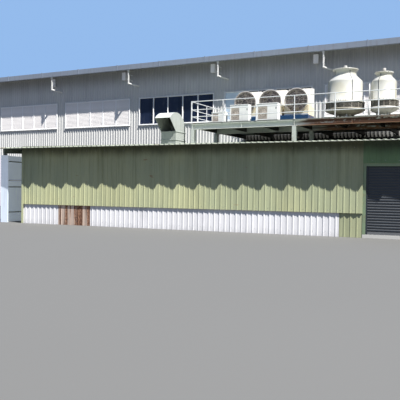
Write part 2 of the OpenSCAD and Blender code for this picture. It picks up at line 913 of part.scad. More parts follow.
module front_rail() {
    color("white") translate([deck_x + rail_in, edge_y + rail_in, deck_z]) rail_run(front_posts());
}

// Rails from beside the front rail's ends back to the hall, clear of the sills
module side_rails() {
    y0 = edge_y + rail_in + rail_d + 12;
    y1 = face_y - sill_out - rail_d / 2 - 12;
    color("white") for (x = [deck_x + rail_in, deck_x + deck_l - rail_in])
        translate([x, y0, deck_z]) rotate([0, 0, 90])
            rail_run([for (i = [0:side_spaces]) i * (y1 - y0) / side_spaces]);
}

// Outdoor unit with a round grille on the left of its front
module ac_unit(w, h) {
    r = min(h, w) * 0.36;
    cx = r + w * 0.06;
    deep = 24;
    bar = 10;
    front = 3;
    for (x = [60, w - 120]) translate([x, 20, 0]) cube([60, ac_d - 40, foot_h + 5]);
    translate([0, 0, foot_h]) {
        difference() {
            cube([w, ac_d, h - foot_h]);
            translate([cx, -1, (h - foot_h) / 2]) rotate([-90, 0, 0]) cylinder(h = deep + 1, r = r);
        }
        translate([cx, 0, (h - foot_h) / 2]) rotate([-90, 0, 0]) {
            translate([0, 0, front]) cylinder(h = deep, r = r * 0.16);
            for (k = [0.4, 0.6, 0.8]) translate([0, 0, front]) difference() {
                cylinder(h = deep, r = r * k + bar / 2);
                translate([0, 0, -1]) cylinder(h = deep + 2, r = r * k - bar / 2);
            }
            for (a = [0:60:120]) rotate([0, 0, a]) translate([-r - bar, -bar / 2, 2 * front])
                cube([2 * (r + bar), bar, deep]);
        }
    }
}

module ac_units() {
    color("whitesmoke") translate([deck_x, edge_y + ac_in, deck_z]) {
        translate([ac_small_x, 0, 0]) ac_unit(ac_small_w, ac_small_h);
        translate([ac_middle_x, 0, 0]) ac_unit(ac_w, ac_h);
        translate([ac_large_x, 0, 0]) ac_unit(ac_large_w, ac_h);
    }
}

// Moves to fan i: origin on its axis at the front of its housing, z forward
module at_fan(i) {
    translate([deck_x + fan_x + i * fan_pitch, base_y, fan_z]) rotate([90, 0, 0]) children();
}

module fan_base() {
    t = 60;
    x0 = deck_x + fan_x - house_w / 2;
    l = (fans - 1) * fan_pitch + house_w;
    color("steelblue") difference() {
        translate([x0, base_y, deck_z]) cube([l, house_d, base_h]);
        translate([x0 + t, base_y + t, deck_z - 1]) cube([l - 2 * t, house_d - 2 * t, base_h + 2]);
    }
}

// Box with a round drum in front, lipped at its mouth
module fan_housing() {
    mid = fan_z - deck_z - base_h;
    seat = 5;
    translate([-house_w / 2, -mid, -house_d]) cube([house_w, house_h, house_d - throat_deep]);
    difference() {
        union() {
            translate([0, 0, -throat_deep - seat])
                cylinder(h = throat_deep + seat, d = throat_d + 2 * drum_t, $fn = 64);
            translate([0, 0, -lip_l]) cylinder(h = lip_l, d = throat_d + 2 * lip_out, $fn = 64);
        }
        translate([0, 0, -throat_deep]) cylinder(h = throat_deep + 1, d = throat_d, $fn = 64);
    }
}

module fan_housings() {
    color("ivory") for (i = [0:fans - 1]) at_fan(i) fan_housing();
}

module fan_guard() {
    ring = wire_t * 1.6;
    r = throat_d / 2 + ring / 2;
    difference() {
        cylinder(h = ring, r = r + ring / 2, $fn = 64);
        translate([0, 0, -1]) cylinder(h = ring + 2, r = r - ring, $fn = 64);
    }
    for (k = [0.3, 0.65]) difference() {
        translate([0, 0, ring - wire_t]) cylinder(h = wire_t, r = r * k + wire_t / 2, $fn = 64);
        translate([0, 0, -1]) cylinder(h = ring + 2, r = r * k - wire_t / 2, $fn = 64);
    }
    for (i = [0:spokes - 1]) rotate([0, 0, i * 360 / spokes])
        translate([r * 0.3, -wire_t / 2, ring - wire_t]) cube([r * 0.7, wire_t, wire_t]);
}

module fan_guards() {
    color("darkgray") for (i = [0:fans - 1]) at_fan(i) fan_guard();
}

// Blade outline in its own plane: narrow at the hub, swept and wide at the tip
function blade_outline() =
    let (r0 = hub_d / 2 - 20, r1 = rotor_d / 2 - 10) concat(
        [[r0, -60]],
        [for (k = [0:5]) let (s = k / 5) [r0 + (r1 - r0) * s, -70 - 60 * s]],
        [for (k = [5:-1:0]) let (s = k / 5) [r0 + (r1 - r0) * s - 30 * s, 70 + 110 * s]]
    );

module fan_rotor() {
    translate([0, 0, -hub_l - 40]) cylinder(h = hub_l, d = hub_d);
    translate([0, 0, -throat_deep + 0.3]) cylinder(h = throat_deep - hub_l, d = shaft_d);
    for (i = [0:blades - 1]) rotate([0, 0, i * 360 / blades])
        translate([0, 0, -hub_l / 2 - 40]) rotate([blade_angle, 0, 0])
            translate([0, 0, -blade_t / 2]) linear_extrude(blade_t) polygon(blade_outline());
}

module fan_rotor_1() {
    color("dimgray") at_fan(0) fan_rotor();
}

module fan_rotor_2() {
    color("dimgray") at_fan(1) fan_rotor();
}

module fan_rotor_3() {
    color("dimgray") at_fan(2) fan_rotor();
}

// Outer line of a tower's shell in radius and height: body, round shoulder, neck and flare
function shell_line(r) =
    let (neck = r * neck_share, round_r = r * 0.3, mid = neck_h * 0.62) concat(
        [[r, body_z], [r, shoulder_z - 60]],
        arc(r - round_r, shoulder_z - 60, round_r, 0, 50, 5),
        [[neck + 40, shoulder_z + mid], [neck, shoulder_z + mid + 70],
         [neck, top_z - 120], [neck + flare_out, top_z - 30], [neck + flare_out, top_z]]
    );

module tower_shell(r) {
    line = shell_line(r);
    rotate_extrude($fn = 64) polygon(concat(
        line, reversed([for (p = line) [p[0] - shell_t, p[1]]])
    ));
}

module tower_shells() {
    color("ivory") for (i = [0, 1]) translate([tower_xs[i], tower_y, 0]) tower_shell(tower_rs[i]);
}

// Bowl with inlet posts that carry the shell, on four legs
module tower_basin(r) {
    out = r + basin_out;
    bottom = deck_z + basin_z;
    rotate_extrude($fn = 64) polygon([
        [0, bottom], [r * 0.55, bottom], [r * 0.92, bottom + basin_h * 0.35], [out, rim_z - 60],
        [out, rim_z], [out - shell_t, rim_z], [out - shell_t, rim_z - 60 + shell_t / 2],
        [r * 0.92 - shell_t, bottom + basin_h * 0.35 + shell_t], [r * 0.55, bottom + shell_t],
        [0, bottom + shell_t]
    ]);
    for (i = [0:inlet_posts - 1]) rotate([0, 0, (i + 0.5) * 360 / inlet_posts])
        translate([r - shell_t - 26, -20, bottom + basin_h * 0.4]) cube([40, 40, body_z - bottom - basin_h * 0.4]);
    for (i = [0:3]) rotate([0, 0, 45 + i * 90])
        translate([r * 0.5, -40, deck_z]) cube([80, 80, basin_z + 10]);
}

module tower_basins() {
    color("cornsilk") for (i = [0, 1]) translate([tower_xs[i], tower_y, 0]) tower_basin(tower_rs[i]);
}

// Motor on a cross of bars that rests on the top flange, with the fan hung below it
module tower_fan(r) {
    neck = r * neck_share;
    bar = 40;
    translate([0, 0, top_z]) {
        for (a = [0, 90]) rotate([0, 0, a])
            translate([-neck - flare_out + 5, -bar / 2, 0]) cube([2 * (neck + flare_out - 5), bar, bar]);
        cylinder(h = 190, d = motor_d);
        translate([0, 0, -200]) cylinder(h = 210, d = 60);
        translate([0, 0, -230]) cylinder(h = 90, d = 160);
        for (a = [0:90:270]) rotate([0, 0, a]) translate([60, 0, -185]) rotate([25, 0, 0])
            translate([0, -60, -4]) cube([neck - 60 - 40, 120, 8]);
    }
}

module tower_fans() {
    color("gray") for (i = [0, 1]) translate([tower_xs[i], tower_y, 0]) tower_fan(tower_rs[i]);
}

hall_floor();
hall_columns();
hall_rafters();
floor_beams();
upper_floor();
hall_front_wall();
hall_back_wall();
hall_end_walls();
hall_front_cladding();
hall_back_cladding();
hall_end_cladding();
hall_roof_front();
hall_roof_back();
hall_roof_sheets();
ridge_cap();
eave_gutters();
gutter_fittings();
downpipes();
louvre_windows();
glazed_window_frames();
glazed_window_glass();
annex_floor();
annex_frame();
annex_rafters();
annex_roof();
annex_front_wall();
annex_lintel_wall();
annex_white_sheets();
annex_rusty_sheets();
annex_side_walls();
shutter_frame();
shutter_curtain();
recess_screen();
recess_shelf();
exhaust_duct();
platform_posts();
platform_edge_beams();
platform_cross_beams();
platform_deck();
front_rail();
side_rails();
ac_units();
fan_base();
fan_housings();
fan_guards();
fan_rotor_1();
fan_rotor_2();
fan_rotor_3();
tower_shells();
tower_basins();
tower_fans();
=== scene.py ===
"""Dresses the factory building: finishes, small repeated pieces, floor, light and camera."""
import math

import bmesh
import bpy
from bpy.props import FloatProperty, FloatVectorProperty, IntProperty, PointerProperty
from mathutils import Matrix, Vector


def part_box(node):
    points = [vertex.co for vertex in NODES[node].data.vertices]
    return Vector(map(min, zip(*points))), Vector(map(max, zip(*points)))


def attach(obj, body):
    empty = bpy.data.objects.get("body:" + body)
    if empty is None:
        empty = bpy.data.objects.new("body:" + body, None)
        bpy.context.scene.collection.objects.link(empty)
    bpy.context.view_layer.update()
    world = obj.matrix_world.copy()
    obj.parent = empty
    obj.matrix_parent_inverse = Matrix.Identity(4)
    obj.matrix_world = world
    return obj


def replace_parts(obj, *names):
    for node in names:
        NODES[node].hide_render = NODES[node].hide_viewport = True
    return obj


bl_info = {
    "name": "Factory Building Looks",
    "version": (1, 0, 0),
    "blender": (4, 5, 0),
    "location": "View3D > Sidebar > Factory",
    "description": "Finishes and small pieces of a factory building",
    "category": "Object",
}

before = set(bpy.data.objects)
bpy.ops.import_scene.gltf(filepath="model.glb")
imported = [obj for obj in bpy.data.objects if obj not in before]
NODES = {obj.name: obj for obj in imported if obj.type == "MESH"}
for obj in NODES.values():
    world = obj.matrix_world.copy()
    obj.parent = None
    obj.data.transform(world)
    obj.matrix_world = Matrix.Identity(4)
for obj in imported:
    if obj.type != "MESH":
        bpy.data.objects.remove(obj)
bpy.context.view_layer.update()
BUILDING = "building"
UP = Vector((0, 0, 1))
FORWARD = (math.pi / 2, 0, 0)  # turns a ring in the ground plane to face the front


def linear(red, green, blue):
    """A colour as seen on a screen, turned into the light values that shaders use."""
    return tuple(c / 12.92 if c <= 0.04045 else ((c + 0.055) / 1.055) ** 2.4 for c in (red, green, blue))


def colour(label, red, green, blue):
    return FloatVectorProperty(
        name=label, description=label + ", as painted", subtype="COLOR", size=3, min=0.0, max=1.0,
        default=linear(red, green, blue),
    )


def length(label, about, metres, low=0.001, high=50.0):
    return FloatProperty(name=label, description=about, default=metres, min=low, max=high, unit="LENGTH")


class FactoryColours(bpy.types.PropertyGroup):
    """Colours of the painted sheets, plastics and metals."""

    cladding: colour("Hall sheets", 0.82, 0.82, 0.81)
    roof: colour("Hall roof sheets", 0.55, 0.61, 0.68)
    fascia: colour("Gutter fascia", 0.57, 0.61, 0.67)
    trim: colour("White trim", 0.86, 0.87, 0.87)
    blades: colour("Louvre blades", 0.92, 0.905, 0.895)
    pane: colour("Window glass", 0.14, 0.18, 0.27)
    pale_pane: colour("Pale window glass", 0.84, 0.91, 0.98)
    sage: colour("Annex sheets", 0.655, 0.68, 0.55)
    deep_green: colour("Sheets over the shutter", 0.46, 0.57, 0.40)
    annex_roof: colour("Annex roof sheets", 0.62, 0.65, 0.58)
    white_sheet: colour("Low white sheets", 0.86, 0.86, 0.87)
    shutter: colour("Roller shutter", 0.20, 0.225, 0.255)
    grey_green: colour("Platform steel", 0.80, 0.82, 0.80)
    duct: colour("Exhaust duct", 0.68, 0.70, 0.68)
    casing: colour("Fan casings", 0.95, 0.94, 0.91)
    cream: colour("Lower casings", 0.93, 0.88, 0.76)
    grille: colour("Unit grilles", 0.82, 0.78, 0.74)
    shell: colour("Cooling tower shells", 0.80, 0.80, 0.77)
    blue: colour("Fan base", 0.09, 0.27, 0.43)
    dark: colour("Dark metal", 0.20, 0.20, 0.20)
    blade: colour("Fan blades", 0.45, 0.42, 0.41)
    concrete: colour("Concrete", 0.62, 0.61, 0.58)


class FactorySizes(bpy.types.PropertyGroup):
    """Sizes of the repeats that the finishes and small pieces follow."""

    rib: length("Rib pitch", "Distance between two ribs of a sheet", 0.19)
    rib_height: length("Rib height", "Height of a rib over its sheet", 0.025)
    sheet: length("Sheet width", "Cover width of one sheet", 0.76)
    skew: FloatProperty(
        name="Annex skew", description="Angle between the annex front and the hall",
        default=math.radians(4.57), subtype="ANGLE",
    )
    skin: length("Annex sheet depth", "Depth of an annex sheet with its ribs", 0.04)
    screw: length("Screw washer", "Radius of a screw's washer", 0.010)
    wire: length("Guard wire", "Radius of the thin wires in the fan guards", 0.002)
    rings: IntProperty(name="Guard rings", description="Thin rings in each fan guard", default=11, min=3)
    pan_depth: length("Pan depth", "How far the annex sheets' flat pans lie behind their ribs", 0.010)
    rail: length("Rail tube", "Radius of the rails' posts", 0.021)
    rail_near: length("First rail spaces", "Distance between the front rail's first three posts", 1.61)
    rail_pitch: length("Rail pitch", "Distance between the front rail's other posts", 1.74)
    tower_rim: length("Basin rims", "Height of the basins' rims over the deck", 0.52)
    tower_foot: length("Shell feet", "Height of the tower shells' feet over the deck", 0.78)
    tower_shoulders: FloatVectorProperty(
        name="Tower shoulders", description="Heights of the two shells' shoulders over the deck", size=2,
        default=(1.73, 1.64), unit="LENGTH",
    )
    tower_tops: FloatVectorProperty(
        name="Tower tops", description="Heights of the two shells' rims over the deck", size=2,
        default=(2.24, 2.0), unit="LENGTH",
    )
    tower_neck: FloatProperty(
        name="Tower neck", description="Radius of a tower's neck as a share of its body's", default=0.63,
    )
    basin_out: length("Basin edge", "How far a basin reaches out beyond the shell", 0.11)


class FactoryView(bpy.types.PropertyGroup):
    """The photograph's camera and the studio's light."""

    place: FloatVectorProperty(
        name="Camera place", description="Where the camera stands", subtype="TRANSLATION", unit="LENGTH",
        default=(14.5, -37.837, 1.4),
    )
    yaw: FloatProperty(
        name="Yaw", description="Turn to the left of the building's depth", default=0.4797, subtype="ANGLE",
    )
    pitch: FloatProperty(name="Pitch", description="Tilt upwards", default=-0.0188, subtype="ANGLE")
    roll: FloatProperty(
        name="Roll", description="Turn about the line of sight", default=0.0141, subtype="ANGLE",
    )
    lens: FloatProperty(name="Lens", description="Focal length in millimetres", default=53.19)
    sun: FloatVectorProperty(
        name="Key light", description="Direction towards the key light", subtype="DIRECTION",
        default=(0.50, -0.204, 0.843),
    )
    key: FloatProperty(name="Key strength", description="Strength of the key light", default=8.0)
    fill: FloatProperty(
        name="Fill strength", description="Strength of the light from all round", default=0.42,
    )


def colours():
    return bpy.context.scene.factory_colours


def sizes():
    return bpy.context.scene.factory_sizes


# Shaders


def plug(tree, target, item):
    """Links a socket to a node's input, or writes a plain value there."""
    if isinstance(item, Value):
        tree.links.new(item.socket, target)
    elif hasattr(item, "__len__") and len(item) == 3 and target.type == "RGBA":
        target.default_value = (*item, 1.0)
    else:
        target.default_value = item


class Value:
    """A node's output that takes part in arithmetic: each step adds one Math node."""

    def __init__(self, socket):
        self.socket = socket

    def math(self, operation, *terms):
        tree = self.socket.id_data
        node = tree.nodes.new("ShaderNodeMath")
        node.operation = operation
        for target, term in zip(node.inputs, terms):
            plug(tree, target, term)
        return Value(node.outputs[0])

    def __add__(self, other):
        return self.math("ADD", self, other)

    def __radd__(self, other):
        return self.math("ADD", other, self)

    def __sub__(self, other):
        return self.math("SUBTRACT", self, other)

    def __rsub__(self, other):
        return self.math("SUBTRACT", other, self)

    def __mul__(self, other):
        return self.math("MULTIPLY", self, other)

    def __rmul__(self, other):
        return self.math("MULTIPLY", other, self)

    def __truediv__(self, other):
        return self.math("DIVIDE", self, other)

    def __abs__(self):
        return self.math("ABSOLUTE", self)

    def fraction(self):
        return self.math("FRACT", self)

    def swing(self, span):
        """The value about its middle of a half, over a span."""
        return (self - 0.5) * span

    def most(self, other):
        return self.math("MAXIMUM", self, other)


class Finish:
    """One material while its nodes are laid out."""

    def __init__(self, name):
        self.material = bpy.data.materials.new(name)
        self.material.use_nodes = True
        self.tree = self.material.node_tree
        self.tree.nodes.clear()
        self.shader = self.tree.nodes.new("ShaderNodeBsdfPrincipled")
        output = self.tree.nodes.new("ShaderNodeOutputMaterial")
        self.tree.links.new(self.shader.outputs["BSDF"], output.inputs["Surface"])
        self.place = self.node("ShaderNodeTexCoord", output="Object")
        self.x, self.y, self.z = (self.part(self.place, axis) for axis in "XYZ")

    def node(self, kind, inputs=None, output=0, **settings):
        """Adds a node: first its settings, then its inputs by name or number. Returns one output."""
        node = self.tree.nodes.new(kind)
        for key, item in settings.items():
            if key == "stops":
                ramp = node.color_ramp
                for place, shade in item:
                    spot = ramp.elements[0] if place == item[0][0] else ramp.elements.new(place)
                    spot.position = place
                    spot.color = (*shade, 1.0)
                ramp.elements.remove(ramp.elements[-1])
            else:
                setattr(node, key, item)
        for key, item in (inputs or {}).items():
            plug(self.tree, node.inputs[key], item)
        return Value(node.outputs[output])

    def part(self, vector, axis):
        """One coordinate of a vector."""
        return self.node("ShaderNodeSeparateXYZ", {0: vector}, axis)

    def facing(self, axis):
        """How far a face looks along an axis, from -1 to 1."""
        return self.part(self.node("ShaderNodeNewGeometry", output="True Normal"), axis)

    def ramp(self, value, *stops):
        """Colours one after another; each stop is a place and a colour as seen on a screen."""
        stops = [(place, linear(*shade)) for place, *shade in stops]
        return self.node("ShaderNodeValToRGB", {"Fac": value}, stops=stops)

    def noise(self, scale, detail=2.0, stretch=(1, 1, 1), shift=(0, 0, 0)):
        place = self.node(
            "ShaderNodeMapping", {"Vector": self.place, "Location": shift, "Scale": stretch}, "Vector"
        )
        return self.node(
            "ShaderNodeTexNoise", {"Vector": place, "Scale": scale, "Detail": detail, "Roughness": 0.55}
        )

    def between(self, value, low, high):
        """Smooth step from 0 at low to 1 at high."""
        return self.node(
            "ShaderNodeMapRange", {"Value": value, "From Min": low, "From Max": high},
            interpolation_type="SMOOTHSTEP",
        )

    def random(self, value, seed):
        """One random number for each whole step of a value."""
        step = value.math("FLOOR", value)
        return self.node("ShaderNodeTexWhiteNoise", {"W": step + seed}, noise_dimensions="1D")

    def mix(self, factor, first, second):
        """Mixes two colours; first shows where the factor is 0."""
        return self.node("ShaderNodeMix", {0: factor, 6: first, 7: second}, 2, data_type="RGBA")

    def shade(self, tint, value):
        """Scales a colour by a number."""
        return self.node("ShaderNodeVectorMath", {0: tint, "Scale": value}, operation="SCALE")

    def bump(self, height, distance, strength=1.0, under=None):
        """Relief of a height in metres, over the relief that another Bump node gives."""
        inputs = {"Height": height, "Distance": distance, "Strength": strength}
        if under:
            inputs["Normal"] = under
        return self.node("ShaderNodeBump", inputs)

    def lean(self, share, under):
        """Turns the surface's shading up a little, as fine folds across the sheets do."""
        return self.bump(0 - self.z, share, 1.0, under)

    def done(self, body, rough, normal=None, more=None):
        """Feeds the shader and returns the material."""
        inputs = {"Base Color": body, "Roughness": rough, **(more or {})}
        if normal:
            inputs["Normal"] = normal
        for key, item in inputs.items():
            plug(self.tree, self.shader.inputs[key], item)
        return self.material


def skewed(paint):
    """Distances along the annex front and out of it, from its left corner."""
    corner, turn = annex_corner(), sizes().skew
    along = (paint.x - corner.x) * math.cos(turn) + (paint.y - corner.y) * math.sin(turn)
    out = (paint.x - corner.x) * math.sin(turn) - (paint.y - corner.y) * math.cos(turn)
    return along, out


def sheet_finish(name, tint, run, depth, coat, rough=0.42, wear=1.0, foot=None, soot=None, tilt=0.20):
    """Ribbed painted sheet.

    run(paint) is the distance across the ribs and depth(paint) is 0 on the ribs' tops and 1 in the
    valleys. Sheets differ a little in tone, rain has left streaks, and the valleys are a little darker.
    foot is the height of the splashes at the wall's foot, and soot(paint) is where shade is painted on.
    """
    paint = Finish(name)
    across = run(paint)
    valley = paint.between(depth(paint), 0.1, 1.0)
    sheet = paint.random(across / sizes().sheet, 3.0)
    cloud = paint.noise(0.45, 4)
    streak = paint.noise(1, 3, (5, 5, 0.22), (2, 1, 4))
    fine = paint.noise(14, 4, (1, 1, 0.4), (5, 0, 0))
    dirt = paint.between(streak, 0.50, 0.72) * paint.between(cloud, 0.35, 0.65)
    if foot is not None:
        splash = 1 - paint.between(paint.z + fine.swing(0.5), 0.0, foot)
        dirt = dirt.most(splash * 0.8)
    tone = 1.0 + sheet.swing(0.07) * wear + cloud.swing(0.10) * wear + fine.swing(0.06)
    body = paint.shade(tint, tone - valley * 0.10 * wear)
    grime = tuple(0.45 * c + 0.02 for c in tint)
    body = paint.mix(dirt * 0.30 * wear, body, grime)
    # Painted shade: where soot(paint) is above 0 the sheet is darkened towards a near-black grey, as a shadow
    # would.
    if soot is not None:
        body = paint.mix(soot(paint), body, linear(0.16, 0.16, 0.15))
    panel_wave = paint.noise(1, 2, (1.6, 1.6, 0.7), (8, 3, 0))
    normal = paint.bump(panel_wave, 0.012, 0.5)
    normal = paint.lean(tilt, paint.bump(fine, 0.0015, 0.35, normal))
    return paint.done(
        body, rough + cloud.swing(0.16) + dirt * 0.25, normal,
        {"Coat Weight": coat, "Coat Roughness": 0.25},
    )


def steel_finish(name, tint, rust_share=0.25, rough=0.5):
    """Painted steel that rusts in patches."""
    paint = Finish(name)
    broad = paint.noise(0.7, 5, (1, 1, 1.6))
    fine = paint.noise(9, 5, (1, 1, 1), (3, 1, 2))
    share = broad * 0.6 + fine * 0.4
    rusted = paint.between(share, 0.72 - rust_share * 0.3, 0.80 - rust_share * 0.3)
    stain = paint.between(share, 0.56 - rust_share * 0.3, 0.74 - rust_share * 0.3)
    rust = paint.ramp(
        fine, (0.30, 0.20, 0.11, 0.08), (0.48, 0.42, 0.22, 0.12), (0.62, 0.62, 0.34, 0.16),
        (0.78, 0.36, 0.19, 0.12),
    )
    body = paint.shade(tint, 1.0 + fine.swing(0.16) + broad.swing(0.14))
    body = paint.mix(stain * 0.35, body, linear(0.50, 0.38, 0.28))
    body = paint.mix(rusted, body, rust)
    normal = paint.bump(fine - rusted * 0.6, 0.004, 0.5)
    return paint.done(body, rough + rusted * 0.35 + fine.swing(0.12), normal)


def casing_finish(name, tint, lower=None, split=0.0, rough=0.35, coat=0.2):
    """Smooth painted casing or moulded shell, with dust on it; its foot may have another tint."""
    paint = Finish(name)
    cloud = paint.noise(1.1, 4)
    fine = paint.noise(18, 3, (1, 1, 0.5), (1, 2, 3))
    streak = paint.noise(1, 3, (9, 9, 0.7), (4, 4, 4))
    run = paint.between(streak, 0.54, 0.74)
    base = paint.mix(paint.between(paint.z, split - 0.05, split + 0.05), lower, tint) if lower else tint
    body = paint.shade(base, 1.0 + cloud.swing(0.10) + fine.swing(0.05))
    body = paint.mix(run * 0.22, body, linear(0.52, 0.50, 0.44))
    normal = paint.bump(fine, 0.0012, 0.35, paint.bump(cloud, 0.01, 0.25))
    return paint.done(
        body, rough + cloud.swing(0.15) + run * 0.2, normal, {"Coat Weight": coat, "Coat Roughness": 0.2}
    )


def concrete_finish(name):
    paint = Finish(name)
    broad = paint.noise(0.35, 6)
    pores = paint.noise(26, 4, (1, 1, 1), (1, 0, 0))
    stain = paint.between(broad, 0.42, 0.66)
    body = paint.shade(colours().concrete[:], 1.0 + broad.swing(0.35) + pores.swing(0.14))
    body = paint.mix(stain * 0.3, body, linear(0.40, 0.38, 0.35))
    return paint.done(body, 0.82 + pores.swing(0.15), paint.bump(pores, 0.004, 0.5))


def dress(node, material):
    """Gives a carried-over piece its finish."""
    slots = NODES[node].data.materials
    slots.clear()
    slots.append(material)


# Places read from the frame


def solids_of(node):
    """Boxes of a node's separate solids, as lowest and highest corner, from left to right."""
    mesh = bmesh.new()
    mesh.from_mesh(NODES[node].data)
    bmesh.ops.remove_doubles(mesh, verts=mesh.verts, dist=1e-5)
    unseen = set(mesh.verts)
    boxes = []
    while unseen:
        stack = [unseen.pop()]
        low, high = stack[0].co.copy(), stack[0].co.copy()
        while stack:
            vert = stack.pop()
            low = Vector(map(min, low, vert.co))
            high = Vector(map(max, high, vert.co))
            for edge in vert.link_edges:
                other = edge.other_vert(vert)
                if other in unseen:
                    unseen.remove(other)
                    stack.append(other)
        boxes.append((low, high))
    mesh.free()
    return sorted(boxes, key=lambda pair: pair[0].x)


def annex_corner():
    """Left front corner of the annex, on the inner face of its sheets."""
    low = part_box("annex_side_walls")[0]
    return Vector((low.x, low.y - sizes().skin / math.cos(sizes().skew), 0.0))


def annex_axes():
    """Directions along the annex front and out of it."""
    turn = sizes().skew
    return Vector((math.cos(turn), math.sin(turn), 0)), Vector((math.sin(turn), -math.cos(turn), 0))


def annex_place():
    """Matrix from the annex's left front corner, X along its front and Y into it."""
    return Matrix.Translation(annex_corner()) @ Matrix.Rotation(sizes().skew, 4, "Z")


def annex_point(along, out, z):
    line, outward = annex_axes()
    return annex_corner() + line * along + outward * out + UP * z


def annex_span(node):
    """Lowest and highest distance along the annex front, out of it and above the ground of a node."""
    line, outward = annex_axes()
    corner = annex_corner()
    spots = [
        ((v.co - corner).dot(line), (v.co - corner).dot(outward), v.co.z) for v in NODES[node].data.vertices
    ]
    return tuple(map(min, *spots)), tuple(map(max, *spots))


# Meshes


def frame_of(start, end):
    """Matrix that puts a unit length along Z between two points, its middle halfway."""
    line = end - start
    return Matrix.Translation((start + end) / 2) @ line.to_track_quat("Z", "Y").to_matrix().to_4x4()


class Shape:
    """A mesh that grows from boxes, tubes, prisms and turned forms, in the building's frame."""

    def __init__(self):
        self.mesh = bmesh.new()

    def close(self, name):
        """Faces outwards and returns the plain mesh."""
        bmesh.ops.recalc_face_normals(self.mesh, faces=self.mesh.faces)
        mesh = bpy.data.meshes.new(name)
        self.mesh.to_mesh(mesh)
        self.mesh.free()
        return mesh

    def box(self, one, other, place=None):
        """A box between two opposite corners, given in any order."""
        low, high = Vector(map(min, one, other)), Vector(map(max, one, other))
        scale = Matrix.Diagonal((*(high - low), 1))
        matrix = (place or Matrix()) @ Matrix.Translation((low + high) / 2) @ scale
        bmesh.ops.create_cube(self.mesh, size=1.0, matrix=matrix)

    def boxes(self, corners, place=None):
        for one, other in corners:
            self.box(one, other, place)

    def bars(self, low, high, wide):
        """Four bars inside the edge of a rectangle that faces along Y."""
        (x0, y0, z0), (x1, y1, z1) = low, high
        self.boxes((
            ((x0, y0, z0), (x0 + wide, y1, z1)), ((x1 - wide, y0, z0), (x1, y1, z1)),
            ((x0 + wide, y0, z0), (x1 - wide, y1, z0 + wide)),
            ((x0 + wide, y0, z1 - wide), (x1 - wide, y1, z1)),
        ))

    def tube(self, start, end, radius, sides=12, tip=None):
        start, end = Vector(start), Vector(end)
        made = bmesh.ops.create_cone(
            self.mesh, cap_ends=True, segments=sides, radius1=radius, radius2=radius if tip is None else tip,
            depth=(end - start).length, matrix=frame_of(start, end),
        )
        self.soften(made["verts"], sides)

    def column(self, foot, *parts):
        """Upright tubes over a foot; each part is its lower and upper height, radius, sides and tip."""
        for low, high, *form in parts:
            self.tube(foot + UP * low, foot + UP * high, *form)

    def soften(self, verts, sides):
        """Shades a round tube's side smooth and leaves its ends flat."""
        if sides > 6:
            for face in {f for v in verts for f in v.link_faces}:
                face.smooth = len(face.verts) <= 4

    def pipe(self, points, radius, sides=10):
        """A bent pipe through points, with a ball at each bend."""
        points = [Vector(p) for p in points]
        for start, end in zip(points, points[1:]):
            self.tube(start, end, radius, sides)
        for point in points[1:-1]:
            self.ball(point, radius * 1.02, sides)

    def ball(self, centre, radius, sides=12):
        made = bmesh.ops.create_uvsphere(
            self.mesh, u_segments=sides, v_segments=max(6, sides // 2), radius=radius,
            matrix=Matrix.Translation(centre),
        )
        for face in {f for v in made["verts"] for f in v.link_faces}:
            face.smooth = True

    def turned(self, line, centre, sides=48, closed=True):
        """Turns a line of radius and height pairs about the vertical through centre."""
        rings = []
        for radius, height in line:
            count = sides if radius > 1e-6 else 1
            turns = (2 * math.pi * k / count for k in range(count))
            rings.append([
                self.mesh.verts.new(centre + Vector((radius * math.cos(a), radius * math.sin(a), height)))
                for a in turns
            ])
        for one, two in zip(rings, rings[1:] + rings[:1] if closed else rings[1:]):
            for k in range(sides):
                after = k + 1
                corners = list(dict.fromkeys((
                    one[k % len(one)], one[after % len(one)], two[after % len(two)], two[k % len(two)],
                )))
                if len(corners) > 2:
                    self.mesh.faces.new(corners).smooth = True

    def prism(self, outline, low, high, axis="X", place=None):
        """Extrudes an outline of the two other axes, in order, from low to high along an axis."""
        turn = {
            "X": lambda a, b, t: (t, a, b), "Y": lambda a, b, t: (a, t, b), "Z": lambda a, b, t: (a, b, t),
        }[axis]
        matrix = place or Matrix()
        first, last = (
            [self.mesh.verts.new(matrix @ Vector(turn(a, b, t))) for a, b in outline] for t in (low, high)
        )
        self.mesh.faces.new(first)
        self.mesh.faces.new(last)
        for k in range(len(outline)):
            self.mesh.faces.new([first[k - 1], first[k], last[k], last[k - 1]])

    def piece(self, name, slot, material, body=BUILDING, bevel=0.0):
        """Makes the mesh a named piece."""
        return made_piece(name, self.close(name), material, body, bevel)


def made_piece(name, mesh, material, body=BUILDING, bevel=0.0):
    """Makes a mesh a named piece of one material, its edges rounded where bevel is given."""
    mesh.materials.clear()
    mesh.materials.append(material)
    piece = bpy.data.objects.new(name, mesh)
    bpy.context.scene.collection.objects.link(piece)
    if bevel:
        edge = piece.modifiers.new("Edges", "BEVEL")
        edge.width = bevel
        edge.segments = 2
        edge.limit_method = "ANGLE"
        edge.angle_limit = math.radians(40)
    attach(piece, body)
    return piece


# Geometry Nodes


